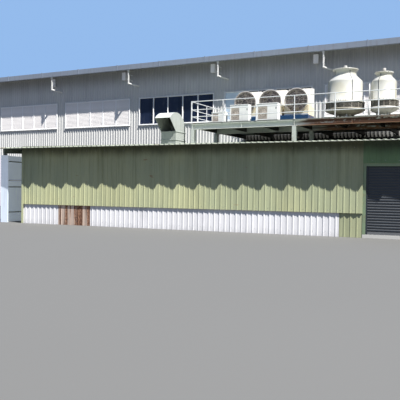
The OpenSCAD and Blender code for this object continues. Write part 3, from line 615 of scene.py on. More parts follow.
class Tree:
    """A Geometry Nodes tree with named inputs."""

    def __init__(self, name, inputs):
        self.group = bpy.data.node_groups.new(name, "GeometryNodeTree")
        self.group.interface.new_socket("Geometry", in_out="OUTPUT", socket_type="NodeSocketGeometry")
        self.identifiers = {}
        for label, kind in inputs:
            socket = self.group.interface.new_socket(label, in_out="INPUT", socket_type="NodeSocket" + kind)
            self.identifiers[label] = socket.identifier
        self.given = self.group.nodes.new("NodeGroupInput")

    def add(self, kind, inputs=None, output=0, operation=None):
        """Adds a geometry or shader node; an input is a name of the tree's own, a socket or a value."""
        node = self.group.nodes.new(kind if kind.startswith("Shader") else "GeometryNode" + kind)
        if operation:
            node.operation = operation
        for key, item in (inputs or {}).items():
            if isinstance(item, str):
                self.group.links.new(self.given.outputs[item], node.inputs[key])
            elif isinstance(item, bpy.types.NodeSocket):
                self.group.links.new(item, node.inputs[key])
            else:
                node.inputs[key].default_value = item
        return node.outputs[output]

    def close(self, geometry):
        """Ends the tree in realized instances with one material."""
        solid = self.add("RealizeInstances", {"Geometry": geometry})
        painted = self.add("SetMaterial", {"Geometry": solid, "Material": "Material"})
        output = self.group.nodes.new("NodeGroupOutput")
        self.group.links.new(painted, output.inputs[0])
        return self

    def mesh(self, name, values):
        """Runs the tree on an empty object and returns the plain mesh that it makes."""
        holder = bpy.data.objects.new(name + "_holder", bpy.data.meshes.new(name + "_empty"))
        bpy.context.scene.collection.objects.link(holder)
        modifier = holder.modifiers.new("Repeat", "NODES")
        modifier.node_group = self.group
        for label, item in values.items():
            modifier[self.identifiers[label]] = item
        bpy.context.view_layer.update()
        graph = bpy.context.evaluated_depsgraph_get()
        made = bpy.data.meshes.new_from_object(holder.evaluated_get(graph), depsgraph=graph)
        made.name = name
        bpy.data.objects.remove(holder)
        if not made.polygons:
            raise RuntimeError(name + " came out empty")
        return made


def rows_tree():
    """Copies an item in rows and columns."""
    tree = Tree("Rows and columns", (
        ("Item", "Object"), ("Start", "Vector"), ("Columns", "Int"), ("Column Step", "Vector"),
        ("Rows", "Int"), ("Row Step", "Vector"), ("Material", "Material"),
    ))
    row = tree.add("MeshLine", {"Count": "Rows", "Start Location": "Start", "Offset": "Row Step"})
    line = tree.add("MeshLine", {"Count": "Columns", "Offset": "Column Step"})
    grid = tree.add("InstanceOnPoints", {"Points": row, "Instance": line})
    points = tree.add("RealizeInstances", {"Geometry": grid})
    item = tree.add("ObjectInfo", {"Object": "Item"}, "Geometry")
    return tree.close(tree.add("InstanceOnPoints", {"Points": points, "Instance": item}))


def ring_tree():
    """Copies an item round a circle; the item lies on local X and the circle is turned and moved after."""
    tree = Tree("Ring", (
        ("Item", "Object"), ("Count", "Int"), ("Radius", "Float"), ("First Angle", "Float"),
        ("Turn", "Vector"), ("Centre", "Vector"), ("Material", "Material"),
    ))
    start = tree.add("ShaderNodeCombineXYZ", {"X": "Radius"})
    count = tree.add("MeshLine", {"Count": "Count", "Offset": (0, 0, 0)})
    index = tree.add("InputIndex")
    share = tree.add("ShaderNodeMath", {0: index, 1: "Count"}, operation="DIVIDE")
    full = {0: share, 1: 2 * math.pi, 2: "First Angle"}
    angle = tree.add("ShaderNodeMath", full, operation="MULTIPLY_ADD")
    turn = tree.add("ShaderNodeCombineXYZ", {"Z": angle})
    item = tree.add("ObjectInfo", {"Object": "Item"}, "Geometry")
    moved = tree.add("Transform", {"Geometry": item, "Translation": start})
    ring = tree.add("InstanceOnPoints", {"Points": count, "Instance": moved, "Rotation": turn})
    placed = tree.add("Transform", {"Geometry": ring, "Translation": "Centre", "Rotation": "Turn"})
    return tree.close(placed)


def wires_tree():
    """Thin rings between two radii, in the plane across local Z."""
    tree = Tree("Guard rings", (
        ("Rings", "Int"), ("Inner", "Float"), ("Step", "Float"), ("Wire", "Float"),
        ("Turn", "Vector"), ("Centre", "Vector"), ("Material", "Material"),
    ))
    spots = tree.add("Points", {"Count": "Rings"})
    index = tree.add("InputIndex")
    size = tree.add("ShaderNodeMath", {0: index, 1: "Step", 2: "Inner"}, operation="MULTIPLY_ADD")
    circle = tree.add("CurvePrimitiveCircle", {"Resolution": 48, "Radius": 1.0})
    rings = tree.add("InstanceOnPoints", {"Points": spots, "Instance": circle, "Scale": size})
    curves = tree.add("RealizeInstances", {"Geometry": rings})
    section = tree.add("CurvePrimitiveCircle", {"Resolution": 5, "Radius": "Wire"})
    solid = tree.add("CurveToMesh", {"Curve": curves, "Profile Curve": section})
    placed = tree.add("Transform", {"Geometry": solid, "Translation": "Centre", "Rotation": "Turn"})
    return tree.close(placed)


TREES = {}


def job(maker, *values):
    """A tree, laid out on first use, and the values of its named inputs in order."""
    if maker not in TREES:
        TREES[maker] = maker()
    tree = TREES[maker]
    return tree, dict(zip(tree.identifiers, values))


def rows(copied, start, columns, step, count=1, row_step=(0, 0, 0)):
    """A job that copies an item in columns, and in rows of them."""
    return job(rows_tree, copied, start, columns, step, count, row_step)


def ring(copied, count, radius, first, turn, centre):
    """A job that copies an item round a circle."""
    return job(ring_tree, copied, count, radius, first, turn, centre)


def item(shape):
    """Turns a shape into a hidden helper object that the trees copy."""
    helper = bpy.data.objects.new("item", shape.close("item"))
    bpy.context.scene.collection.objects.link(helper)
    return helper


def repeated(name, material, jobs):
    """Runs trees one after another, joins what they make, and makes it one piece.

    Each job is a tree and its values. Helper items are removed at the end.
    """
    joined = bmesh.new()
    helpers = set()
    for tree, values in jobs:
        mesh = tree.mesh(name, {**values, "Material": material})
        joined.from_mesh(mesh)
        bpy.data.meshes.remove(mesh)
        if "Item" in values:
            helpers.add(values["Item"].name)
    for helper in helpers:
        bpy.data.objects.remove(bpy.data.objects[helper])
    mesh = bpy.data.meshes.new(name)
    joined.to_mesh(mesh)
    joined.free()
    for face in mesh.polygons:
        face.material_index = 0
    made_piece(name, mesh, material)


def screw(outward):
    """A hexagonal screw on its washer, its foot on the origin and its head along outward."""
    radius = sizes().screw
    outward = Vector(outward).normalized()
    shape = Shape()
    sunk, washer, head = -0.001, 0.002, 0.007
    shape.tube(outward * sunk, outward * washer, radius, 8, radius * 0.8)
    shape.tube(outward * washer, outward * head, radius * 0.55, 6)
    return item(shape)


def bolt(outward, radius):
    """A hexagonal bolt head on its washer, its foot on the origin."""
    outward = Vector(outward).normalized()
    shape = Shape()
    sunk, washer = -0.001, 0.003
    shape.tube(outward * sunk, outward * washer, radius * 1.5, 10)
    shape.tube(outward * washer, outward * washer + outward * radius * 0.8, radius, 6)
    return item(shape)


# Finishes that several groups share


def shared(name, maker, *args, **kwargs):
    """The finish of that name, made on first use."""
    found = bpy.data.materials.get(name)
    return found or maker(name, *args, **kwargs)


def trim_paint():
    return shared("white_trim", casing_finish, colours().trim[:], rough=0.4)


def zinc():
    return shared("zinc_fixings", steel_finish, linear(0.66, 0.67, 0.68), rust_share=0.15, rough=0.35)


def dark_metal():
    return shared("dark_metal", steel_finish, colours().dark[:], rust_share=0.1, rough=0.55)


def inner_panels():
    return shared("inner_panels", casing_finish, linear(0.82, 0.83, 0.83), rough=0.5, coat=0.0)


def pipe_plastic():
    return shared("pipe_plastic", casing_finish, linear(0.84, 0.84, 0.83), rough=0.45)


def hall_paint(axis):
    """The hall's grey sheets: "end" for the two ends, otherwise the long sides."""
    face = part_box("hall_front_cladding")
    if axis == "end":
        rim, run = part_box("hall_end_cladding")[1].x, lambda paint: paint.y
        depth = lambda paint: (rim - abs(paint.x)) / sizes().rib_height
    else:
        rim, run = -face[0].y, lambda paint: paint.x
        depth = lambda paint: (rim - abs(paint.y)) / sizes().rib_height
    return shared(
        "hall_sheets_" + axis, sheet_finish, colours().cladding[:], run, depth, 0.12, rough=0.38, foot=0.7,
        soot=hall_soot, tilt=0.01 if axis == "end" else 0.20,
    )


def hall_soot(paint):
    """Painted shade under the eaves, and darker under the platform, less towards its right end."""
    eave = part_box("eave_gutters")[0].z
    deck_low, deck_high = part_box("platform_deck")
    uneven = (paint.noise(1, 3, (2, 2, 0.5)) - 0.5) * 0.5
    top = paint.between(paint.z + uneven, eave - 1.1, eave - 0.05) * 0.42
    across = paint.between(paint.x, deck_low.x - 0.1, deck_low.x + 0.1)
    across = across * (1 - paint.between(paint.x, deck_high.x - 0.1, deck_high.x + 0.1))
    level = 1 - paint.between(paint.z, deck_low.z - 0.02, deck_high.z)
    share = 0.97 - 0.6 * paint.between(paint.x + uneven * 4.0, 7.5, 11.0)
    return top.most(across * level * paint.between(0 - paint.y, 0.0, 1.0) * share)


def valleys(low, high):
    """How many valleys carry screws between two places across the ribs, and where the first one is."""
    rib = sizes().rib
    return int((high - low) / (2 * rib)), low + ((high - low) % rib) / 2 + rib


class Operator(bpy.types.Operator):
    """Common to all groups: run from the sidebar, with undo."""

    bl_options = {"REGISTER", "UNDO"}

    def execute(self, context):
        self.dress(context)
        return {"FINISHED"}

    def spoke(self, reach):
        """A thin bar along X, for the guards of fans."""
        shape = Shape()
        shape.box((0, -0.003, -0.003), (reach, 0.003, 0.003))
        return item(shape)


class FACTORY_OT_stage(Operator):
    """Lay the floor, set the light and stand the camera where the photograph was taken"""

    bl_idname = "factory.stage"
    bl_label = "Stage, light and camera"

    def dress(self, context):
        view = context.scene.factory_view
        self.floor()
        self.light(context, view)
        self.camera(context, view)

    def floor(self):
        reach = 400.0
        shape = Shape()
        shape.box((-reach, -reach, -0.2), (reach, reach, -0.002))
        mesh = shape.close("floor")
        paint = Finish("studio_floor")
        cloud = paint.noise(0.08, 3)
        shade = paint.shade((0.15, 0.15, 0.145), 1.0 + cloud.swing(0.10))
        mesh.materials.append(paint.done(shade, 0.9))
        floor = bpy.data.objects.new("floor", mesh)
        bpy.context.scene.collection.objects.link(floor)

    def light(self, context, view):
        lamp = bpy.data.lights.new("key", "SUN")
        lamp.energy = view.key
        lamp.angle = math.radians(0.6)
        lamp.color = (1.0, 0.97, 0.93)
        key = bpy.data.objects.new("key", lamp)
        key.rotation_mode = "QUATERNION"
        key.rotation_quaternion = Vector(view.sun).to_track_quat("Z", "Y")
        context.scene.collection.objects.link(key)
        world = bpy.data.worlds.new("studio")
        world.use_nodes = True
        tree = world.node_tree
        tree.nodes.clear()
        from_sky, seen_behind = (0.40, 0.61, 1.06, 1.0), (0.30, 0.50, 0.84, 1.0)
        light = tree.nodes.new("ShaderNodeBackground")
        light.inputs["Color"].default_value = from_sky
        self.overhead(tree, light, view.fill)
        backdrop = tree.nodes.new("ShaderNodeBackground")
        backdrop.inputs["Color"].default_value = seen_behind
        backdrop.inputs["Strength"].default_value = 1.0
        seen = tree.nodes.new("ShaderNodeLightPath")
        mix = tree.nodes.new("ShaderNodeMixShader")
        output = tree.nodes.new("ShaderNodeOutputWorld")
        tree.links.new(seen.outputs["Is Camera Ray"], mix.inputs[0])
        tree.links.new(light.outputs[0], mix.inputs[1])
        tree.links.new(backdrop.outputs[0], mix.inputs[2])
        tree.links.new(mix.outputs[0], output.inputs["Surface"])
        context.scene.world = world
        context.scene.view_settings.view_transform = "Standard"

    def overhead(self, tree, light, strength):
        """Makes the light from all round stronger overhead than from the sides."""
        place = tree.nodes.new("ShaderNodeTexCoord")
        split = tree.nodes.new("ShaderNodeSeparateXYZ")
        rise = tree.nodes.new("ShaderNodeMapRange")
        rise.inputs["From Max"].default_value = 0.7
        rise.inputs["To Min"].default_value = 0.30 * strength
        rise.inputs["To Max"].default_value = strength
        tree.links.new(place.outputs["Generated"], split.inputs[0])
        tree.links.new(split.outputs["Z"], rise.inputs["Value"])
        tree.links.new(rise.outputs[0], light.inputs["Strength"])

    def camera(self, context, view):
        ahead = Vector((
            -math.sin(view.yaw) * math.cos(view.pitch), math.cos(view.yaw) * math.cos(view.pitch),
            math.sin(view.pitch),
        ))
        side = Vector((math.cos(view.yaw), math.sin(view.yaw), 0.0))
        over = side.cross(ahead)
        right = side * math.cos(view.roll) + over * math.sin(view.roll)
        above = over * math.cos(view.roll) - side * math.sin(view.roll)
        matrix = Matrix((right, above, -ahead)).transposed().to_4x4()
        matrix.translation = Vector(view.place)
        data = bpy.data.cameras.new("camera")
        data.lens = view.lens
        data.sensor_width = 36.0
        data.clip_start, data.clip_end = 0.5, 1000.0
        camera = bpy.data.objects.new("camera", data)
        context.scene.collection.objects.link(camera)
        camera.matrix_world = matrix
        context.scene.camera = camera


class FACTORY_OT_floors(Operator):
    """Finish the slabs and the upper floor as concrete"""

    bl_idname = "factory.floors"
    bl_label = "Concrete floors"

    def dress(self, context):
        for node in ("hall_floor", "upper_floor", "annex_floor"):
            dress(node, shared("concrete", concrete_finish))


class FACTORY_OT_frames(Operator):
    """Finish the columns, rafters, beams and posts inside"""

    bl_idname = "factory.frames"
    bl_label = "Inner frames"

    def dress(self, context):
        paint = shared("frame_steel", steel_finish, linear(0.45, 0.50, 0.47), rust_share=0.3)
        for node in ("hall_columns", "hall_rafters", "floor_beams", "annex_frame", "annex_rafters"):
            dress(node, paint)


class FACTORY_OT_hall_walls(Operator):
    """Paint the hall's ribbed sheets and panels, and add their screws, corner strips and base strips"""

    bl_idname = "factory.hall_walls"
    bl_label = "Hall walls"

    def dress(self, context):
        dress("hall_front_cladding", hall_paint("long"))
        dress("hall_back_cladding", hall_paint("long"))
        dress("hall_end_cladding", hall_paint("end"))
        for node in ("hall_front_wall", "hall_back_wall", "hall_end_walls"):
            dress(node, inner_panels())
        self.screws()
        self.corners()

    def screws(self):
        """Screws in every second valley, at the rails behind the sheets."""
        size = sizes()
        low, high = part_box("hall_front_cladding")
        ends_low, ends_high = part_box("hall_end_cladding")
        window_low, window_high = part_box("louvre_windows")
        lowest_rail, from_window, upper_rails, end_rails = 0.35, 0.12, 1.15, 1.16
        step = 2 * size.rib
        rise = (window_low.z - from_window - lowest_rail) / 4
        jobs = []
        count, first = valleys(low.x, high.x)
        for turn in (-1, 1):
            y = -turn * (low.y + size.rib_height)
            for z, rails, apart in ((lowest_rail, 5, rise), (window_high.z + from_window, 2, upper_rails)):
                jobs.append(rows(
                    screw((0, turn, 0)), (first, y, z), count, (step, 0, 0), rails, (0, 0, apart),
                ))
        count, first = valleys(ends_low.y, ends_high.y)
        for turn, side in ((-1, ends_low.x), (1, ends_high.x)):
            start = (side - turn * size.rib_height, first, lowest_rail)
            jobs.append(rows(screw((turn, 0, 0)), start, count, (0, step, 0), 8, (0, 0, end_rails)))
        repeated("hall_wall_screws", zinc(), jobs)

    def corners(self):
        """Folded strips over the hall's four corners and along the foot of its walls."""
        low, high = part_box("hall_front_cladding")
        leg, metal, foot = 0.11, 0.003, 0.08
        top = high.z - 0.02
        shape = Shape()
        for sx in (-1, 1):
            for sy in (-1, 1):
                x, y = sx * (high.x + metal), sy * (-low.y + metal)
                outline = [
                    (x, y), (x - sx * leg, y), (x - sx * leg, y - sy * metal),
                    (x - sx * metal, y - sy * metal),
                    (x - sx * metal, y - sy * leg), (x, y - sy * leg),
                ]
                shape.prism(outline, 0.0, top, "Z")
        for side in (-1, 1):
            y, x = side * (-low.y + metal), side * (high.x + metal)
            shape.box((low.x + leg, y, 0.0), (high.x - leg, y - side * metal, foot))
            shape.box((x, low.y + leg, 0.0), (x - side * metal, -low.y - leg, foot))
        shape.piece("corner_strips", "cladding", hall_paint("long"))


class FACTORY_OT_hall_roof(Operator):
    """Paint the roof and add its screws"""

    bl_idname = "factory.hall_roof"
    bl_label = "Hall roof"

    def dress(self, context):
        size = sizes()
        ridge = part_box("ridge_cap")[1].z
        slope = roof_slope()
        depth = lambda paint: (ridge - 0.012 - abs(paint.y) * slope - paint.z) / size.rib_height
        paint = shared(
            "roof_sheets", sheet_finish, colours().roof[:], lambda p: p.x, depth, 0.1, rough=0.45, wear=1.4
        )
        dress("hall_roof_sheets", paint)
        dress("ridge_cap", shared("ridge_paint", casing_finish, colours().roof[:], rough=0.45, coat=0.1))
        for node in ("hall_roof_front", "hall_roof_back"):
            dress(node, inner_panels())
        self.screws(slope)

    def screws(self, slope):
        size = sizes()
        low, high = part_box("hall_roof_sheets")
        from_ridge, apart = 0.9, 1.35
        count, x = valleys(low.x, high.x)
        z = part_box("ridge_cap")[1].z - 0.014 - size.rib_height - from_ridge * slope
        jobs = [rows(
            screw((0, side * slope, 1)), (x, side * from_ridge, z), count, (2 * size.rib, 0, 0), 6,
            (0, side * apart, -apart * slope),
        ) for side in (-1, 1)]
        repeated("roof_screws", zinc(), jobs)


def roof_slope():
    """Fall of the hall roof for each metre of run, from the gable panels."""
    low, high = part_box("hall_roof_front")
    spots = [v.co for v in NODES["hall_roof_front"].data.vertices]
    eave = max(v.z for v in spots if v.y < low.y + 0.001)
    return (high.z - eave) / (high.y - low.y)


class FACTORY_OT_gutters(Operator):
    """Finish the gutters and downpipes, and add end plates, brackets and clips"""

    bl_idname = "factory.gutters"
    bl_label = "Gutters and downpipes"

    def dress(self, context):
        dress("eave_gutters", shared("gutter_paint", self.fascia))
        dress("gutter_fittings", shared("fitting_paint", self.fittings))
        dress("downpipes", pipe_plastic())
        self.plates()
        self.clips()

    def fascia(self, name):
        """Coated sheet, streaked from the rim down."""
        paint = Finish(name)
        cloud = paint.noise(0.5, 4, (1, 1, 2))
        streak = paint.noise(1, 4, (7, 7, 0.8))
        run = paint.between(streak, 0.48, 0.70)
        body = paint.shade(colours().fascia[:], 1.0 + cloud.swing(0.14))
        body = paint.mix(run * 0.30, body, linear(0.46, 0.43, 0.42))
        normal = paint.bump(cloud, 0.02, 0.4)
        return paint.done(body, 0.42 + run * 0.2, normal)

    def fittings(self, name):
        """White boxes on the wall, and straps painted as the gutters are."""
        paint = Finish(name)
        cloud = paint.noise(0.9, 3)
        strap = paint.between(abs(paint.y), 7.95, 8.0)
        body = paint.mix(strap, linear(0.95, 0.95, 0.96), colours().fascia[:])
        return paint.done(
            paint.shade(body, 1.0 + cloud.swing(0.1)), 0.4 + cloud.swing(0.2),
            paint.bump(cloud, 0.006, 0.3),
        )

    def plates(self):
        """Plates that close the gutters' ends, and hangers under them."""
        low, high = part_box("eave_gutters")
        wide, metal, inset, tall = 0.19, 0.004, 0.011, 0.27
        count, from_end = 60, 0.2
        step = (high.x - low.x - 2 * from_end) / (count - 1)
        half, thick, up = 0.012, 0.003, 0.22
        shape = Shape()
        jobs = []
        for side in (-1, 1):
            for x in (low.x, high.x - metal):
                shape.box(
                    (x, side * (-low.y - inset), low.z + inset),
                    (x + metal, side * (-low.y - wide + inset), low.z + tall),
                )
            strap = Shape()
            strap.box((-half, -wide / 2 - thick, -0.004), (half, wide / 2 + thick, 0.0))
            strap.box((-half, -side * wide / 2 - thick, -0.004), (half, -side * wide / 2 + thick, up))
            start = (low.x + from_end, side * (-low.y - wide / 2), low.z)
            jobs.append(rows(item(strap), start, count, (step, 0, 0)))
        shape.piece("gutter_end_plates", "trim", shared("gutter_paint", self.fascia))
        repeated("gutter_hangers", zinc(), jobs)

    def clips(self):
        """Bands that hold the downpipes, and collars at their tops."""
        radius, band = 0.05, 0.03
        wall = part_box("hall_front_cladding")[0].y
        shape = Shape()
        for low, high in solids_of("downpipes"):
            x = low.x + radius
            y, end = (low.y + radius, wall) if low.y < 0 else (high.y - radius, -wall)
            shape.tube((x, y, high.z - 0.09), (x, y, high.z - 0.001), radius + 0.012, 20)
            for z in (high.z - 0.30, high.z - 0.62):
                shape.tube((x, y, z), (x, y, z + band), radius + 0.006, 20)
                shape.box((x - 0.012, y, z), (x + 0.012, end, z + band))
        shape.piece("downpipe_bands", "white_metal", trim_paint())


class FACTORY_OT_windows(Operator):
    """Finish the windows, and add head strips, sash bars and latches"""

    bl_idname = "factory.windows"
    bl_label = "Windows"

    def dress(self, context):
        dress("glazed_window_glass", shared("window_glass", self.glass))
        self.frames()
        self.heads()
        self.sashes()

    def louvres(self, name):
        """Grey-white blades, each a little different."""
        paint = Finish(name)
        blade = paint.random(paint.z / 0.078, 11.0)
        first = solids_of("louvre_windows")[0][0].x
        bay = (paint.x - first) / 6.0
        pane = paint.random(bay.fraction() * (6.0 / 1.006) + bay.math("FLOOR", bay) * 9.0, 5.0)
        cloud = paint.noise(1.3, 3, (1, 1, 2))
        body = paint.shade(colours().blades[:], 0.92 + blade * 0.10 + pane * 0.05 + cloud.swing(0.10))
        return paint.done(body, 0.42 + cloud.swing(0.2), paint.lean(0.24, paint.bump(cloud, 0.004, 0.3)))

    def bars(self, name):
        """White gloss paint, dusty in places."""
        paint = Finish(name)
        cloud = paint.noise(1.3, 3, (1, 1, 2))
        return paint.done(
            paint.shade(linear(0.98, 0.98, 0.98), 0.98 + cloud.swing(0.06)), 0.35 + cloud.swing(0.2),
            paint.lean(0.34, paint.bump(cloud, 0.003, 0.3)),
        )

    def frames(self):
        """Flat frames close to the sheets, with narrow blades in the louvred ones."""
        bars, blades = Shape(), Shape()
        face = -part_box("hall_front_cladding")[0].y
        bar, pitch, panes = 0.045, 0.078, 5
        stand, sill, within = 0.026, 0.044, 0.034
        for node in ("louvre_windows", "glazed_window_frames"):
            for low, high in solids_of(node):
                side = -1 if low.y < 0 else 1
                front, back = side * (face + stand), side * (face - within)
                step = (high.x - low.x - bar) / panes
                for z in (low.z, high.z - bar):
                    bars.box((low.x, front, z), (high.x, back, z + bar))
                bars.box(
                    (low.x - 0.02, side * (face + sill), low.z - 0.012), (high.x + 0.02, back, low.z + 0.008)
                )
                for k in range(panes + 1):
                    x = low.x + k * step
                    bars.box((x, front, low.z + bar), (x + bar, back, high.z - bar))
                if node == "glazed_window_frames":
                    continue
                rise = high.z - low.z - 2 * bar
                count = int(rise / pitch)
                outline = [(back, low.z + bar)]
                for k in range(count):
                    z = low.z + bar + k * rise / count
                    outline += [
                        (front - side * 0.016, z + 0.001), (front - side * 0.016, z + 0.007),
                        (front - side * 0.022, z + rise / count - 0.001),
                    ]
                outline.append((back, high.z - bar))
                for k in range(panes):
                    blades.prism(outline, low.x + k * step + bar, low.x + (k + 1) * step, "X")
        white = bars.piece("window_bars", "white_metal", shared("window_bar_paint", self.bars))
        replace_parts(white, "glazed_window_frames")
        slats = blades.piece("window_blades", "white_metal", shared("louvre_paint", self.louvres))
        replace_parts(slats, "louvre_windows")

    def glass(self, name):
        """Dark tinted glass with one paler pane and patches of dust."""
        paint = Finish(name)
        panes = solids_of("glazed_window_frames")
        first = panes[1][0].x
        width = (panes[1][1].x - first) / 5
        pale = paint.between(paint.x, first, first + 0.01)
        pale = pale * (1 - paint.between(paint.x, first + width, first + width + 0.01))
        cloud = paint.noise(0.9, 3)
        dust = paint.noise(5, 4, (1, 1, 0.6), (3, 3, 3))
        tone = paint.random((paint.x - first) / width, 21.0)
        body = paint.shade(colours().pane[:], 0.85 + tone * 0.3 + cloud.swing(0.4))
        body = paint.mix(pale, body, paint.shade(colours().pale_pane[:], 0.95 + cloud.swing(0.2)))
        body = paint.mix(paint.between(dust, 0.5, 0.8) * 0.12, body, linear(0.5, 0.5, 0.48))
        return paint.done(
            body, 0.07 + paint.between(dust, 0.45, 0.8) * 0.18, paint.bump(cloud, 0.01, 0.06), {"IOR": 1.5}
        )

    def heads(self):
        """A folded strip that throws water clear over each window, and narrow strips at its sides."""
        shape = Shape()
        face = -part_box("hall_front_cladding")[0].y
        for low, high in solids_of("louvre_windows") + solids_of("glazed_window_frames"):
            side = -1 if low.y < 0 else 1
            y = side * face
            fold = (
                (-0.02, 0.05), (0.004, 0.05), (0.036, 0.028), (0.036, 0.012), (0.032, 0.012), (0.032, 0.024),
                (0.002, 0.044), (-0.02, 0.044),
            )
            outline = [(y + side * out, high.z + up) for out, up in fold]
            shape.prism(outline, low.x - 0.05, high.x + 0.05, "X")
            for x in (low.x - 0.03, high.x):
                shape.box((x, y - side * 0.01, low.z), (x + 0.03, y + side * 0.006, high.z + 0.02))
        shape.piece("window_strips", "white_metal", trim_paint())

    def sashes(self):
        """Thin inner frames of the glazed panes, with a latch on each."""
        sashes, latches = Shape(), Shape()
        bar, wide, count = 0.040, 0.012, 5
        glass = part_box("glazed_window_glass")[0].y
        y0, y1 = glass - 0.012, glass - 0.0003
        for low, high in solids_of("glazed_window_frames"):
            pane = (high.x - low.x - bar) / count
            z0, z1 = low.z + bar, high.z - bar
            middle = (z0 + z1) / 2
            for k in range(count):
                x0, x1 = low.x + bar + k * pane, low.x + (k + 1) * pane
                sashes.bars((x0, y0, z0), (x1, y1, z1), wide)
                latches.box((x0 + 0.004, y0 - 0.02, middle - 0.06), (x0 + 0.022, y0, middle + 0.06))
        paint = shared("sash_paint", casing_finish, linear(0.72, 0.73, 0.74))
        sashes.piece("window_sashes", "white_metal", paint)
        latches.piece("window_latches", "dark_metal", dark_metal(), bevel=0.003)


def annex_soot(paint):
    """Painted shade under the annex's roof, darkest just below it."""
    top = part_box("annex_front_wall")[1].z
    uneven = (paint.noise(1, 3, (3, 3, 0.6)) - 0.5) * 0.3
    return paint.between(paint.z + uneven, top - 0.50, top - 0.10) * 0.75


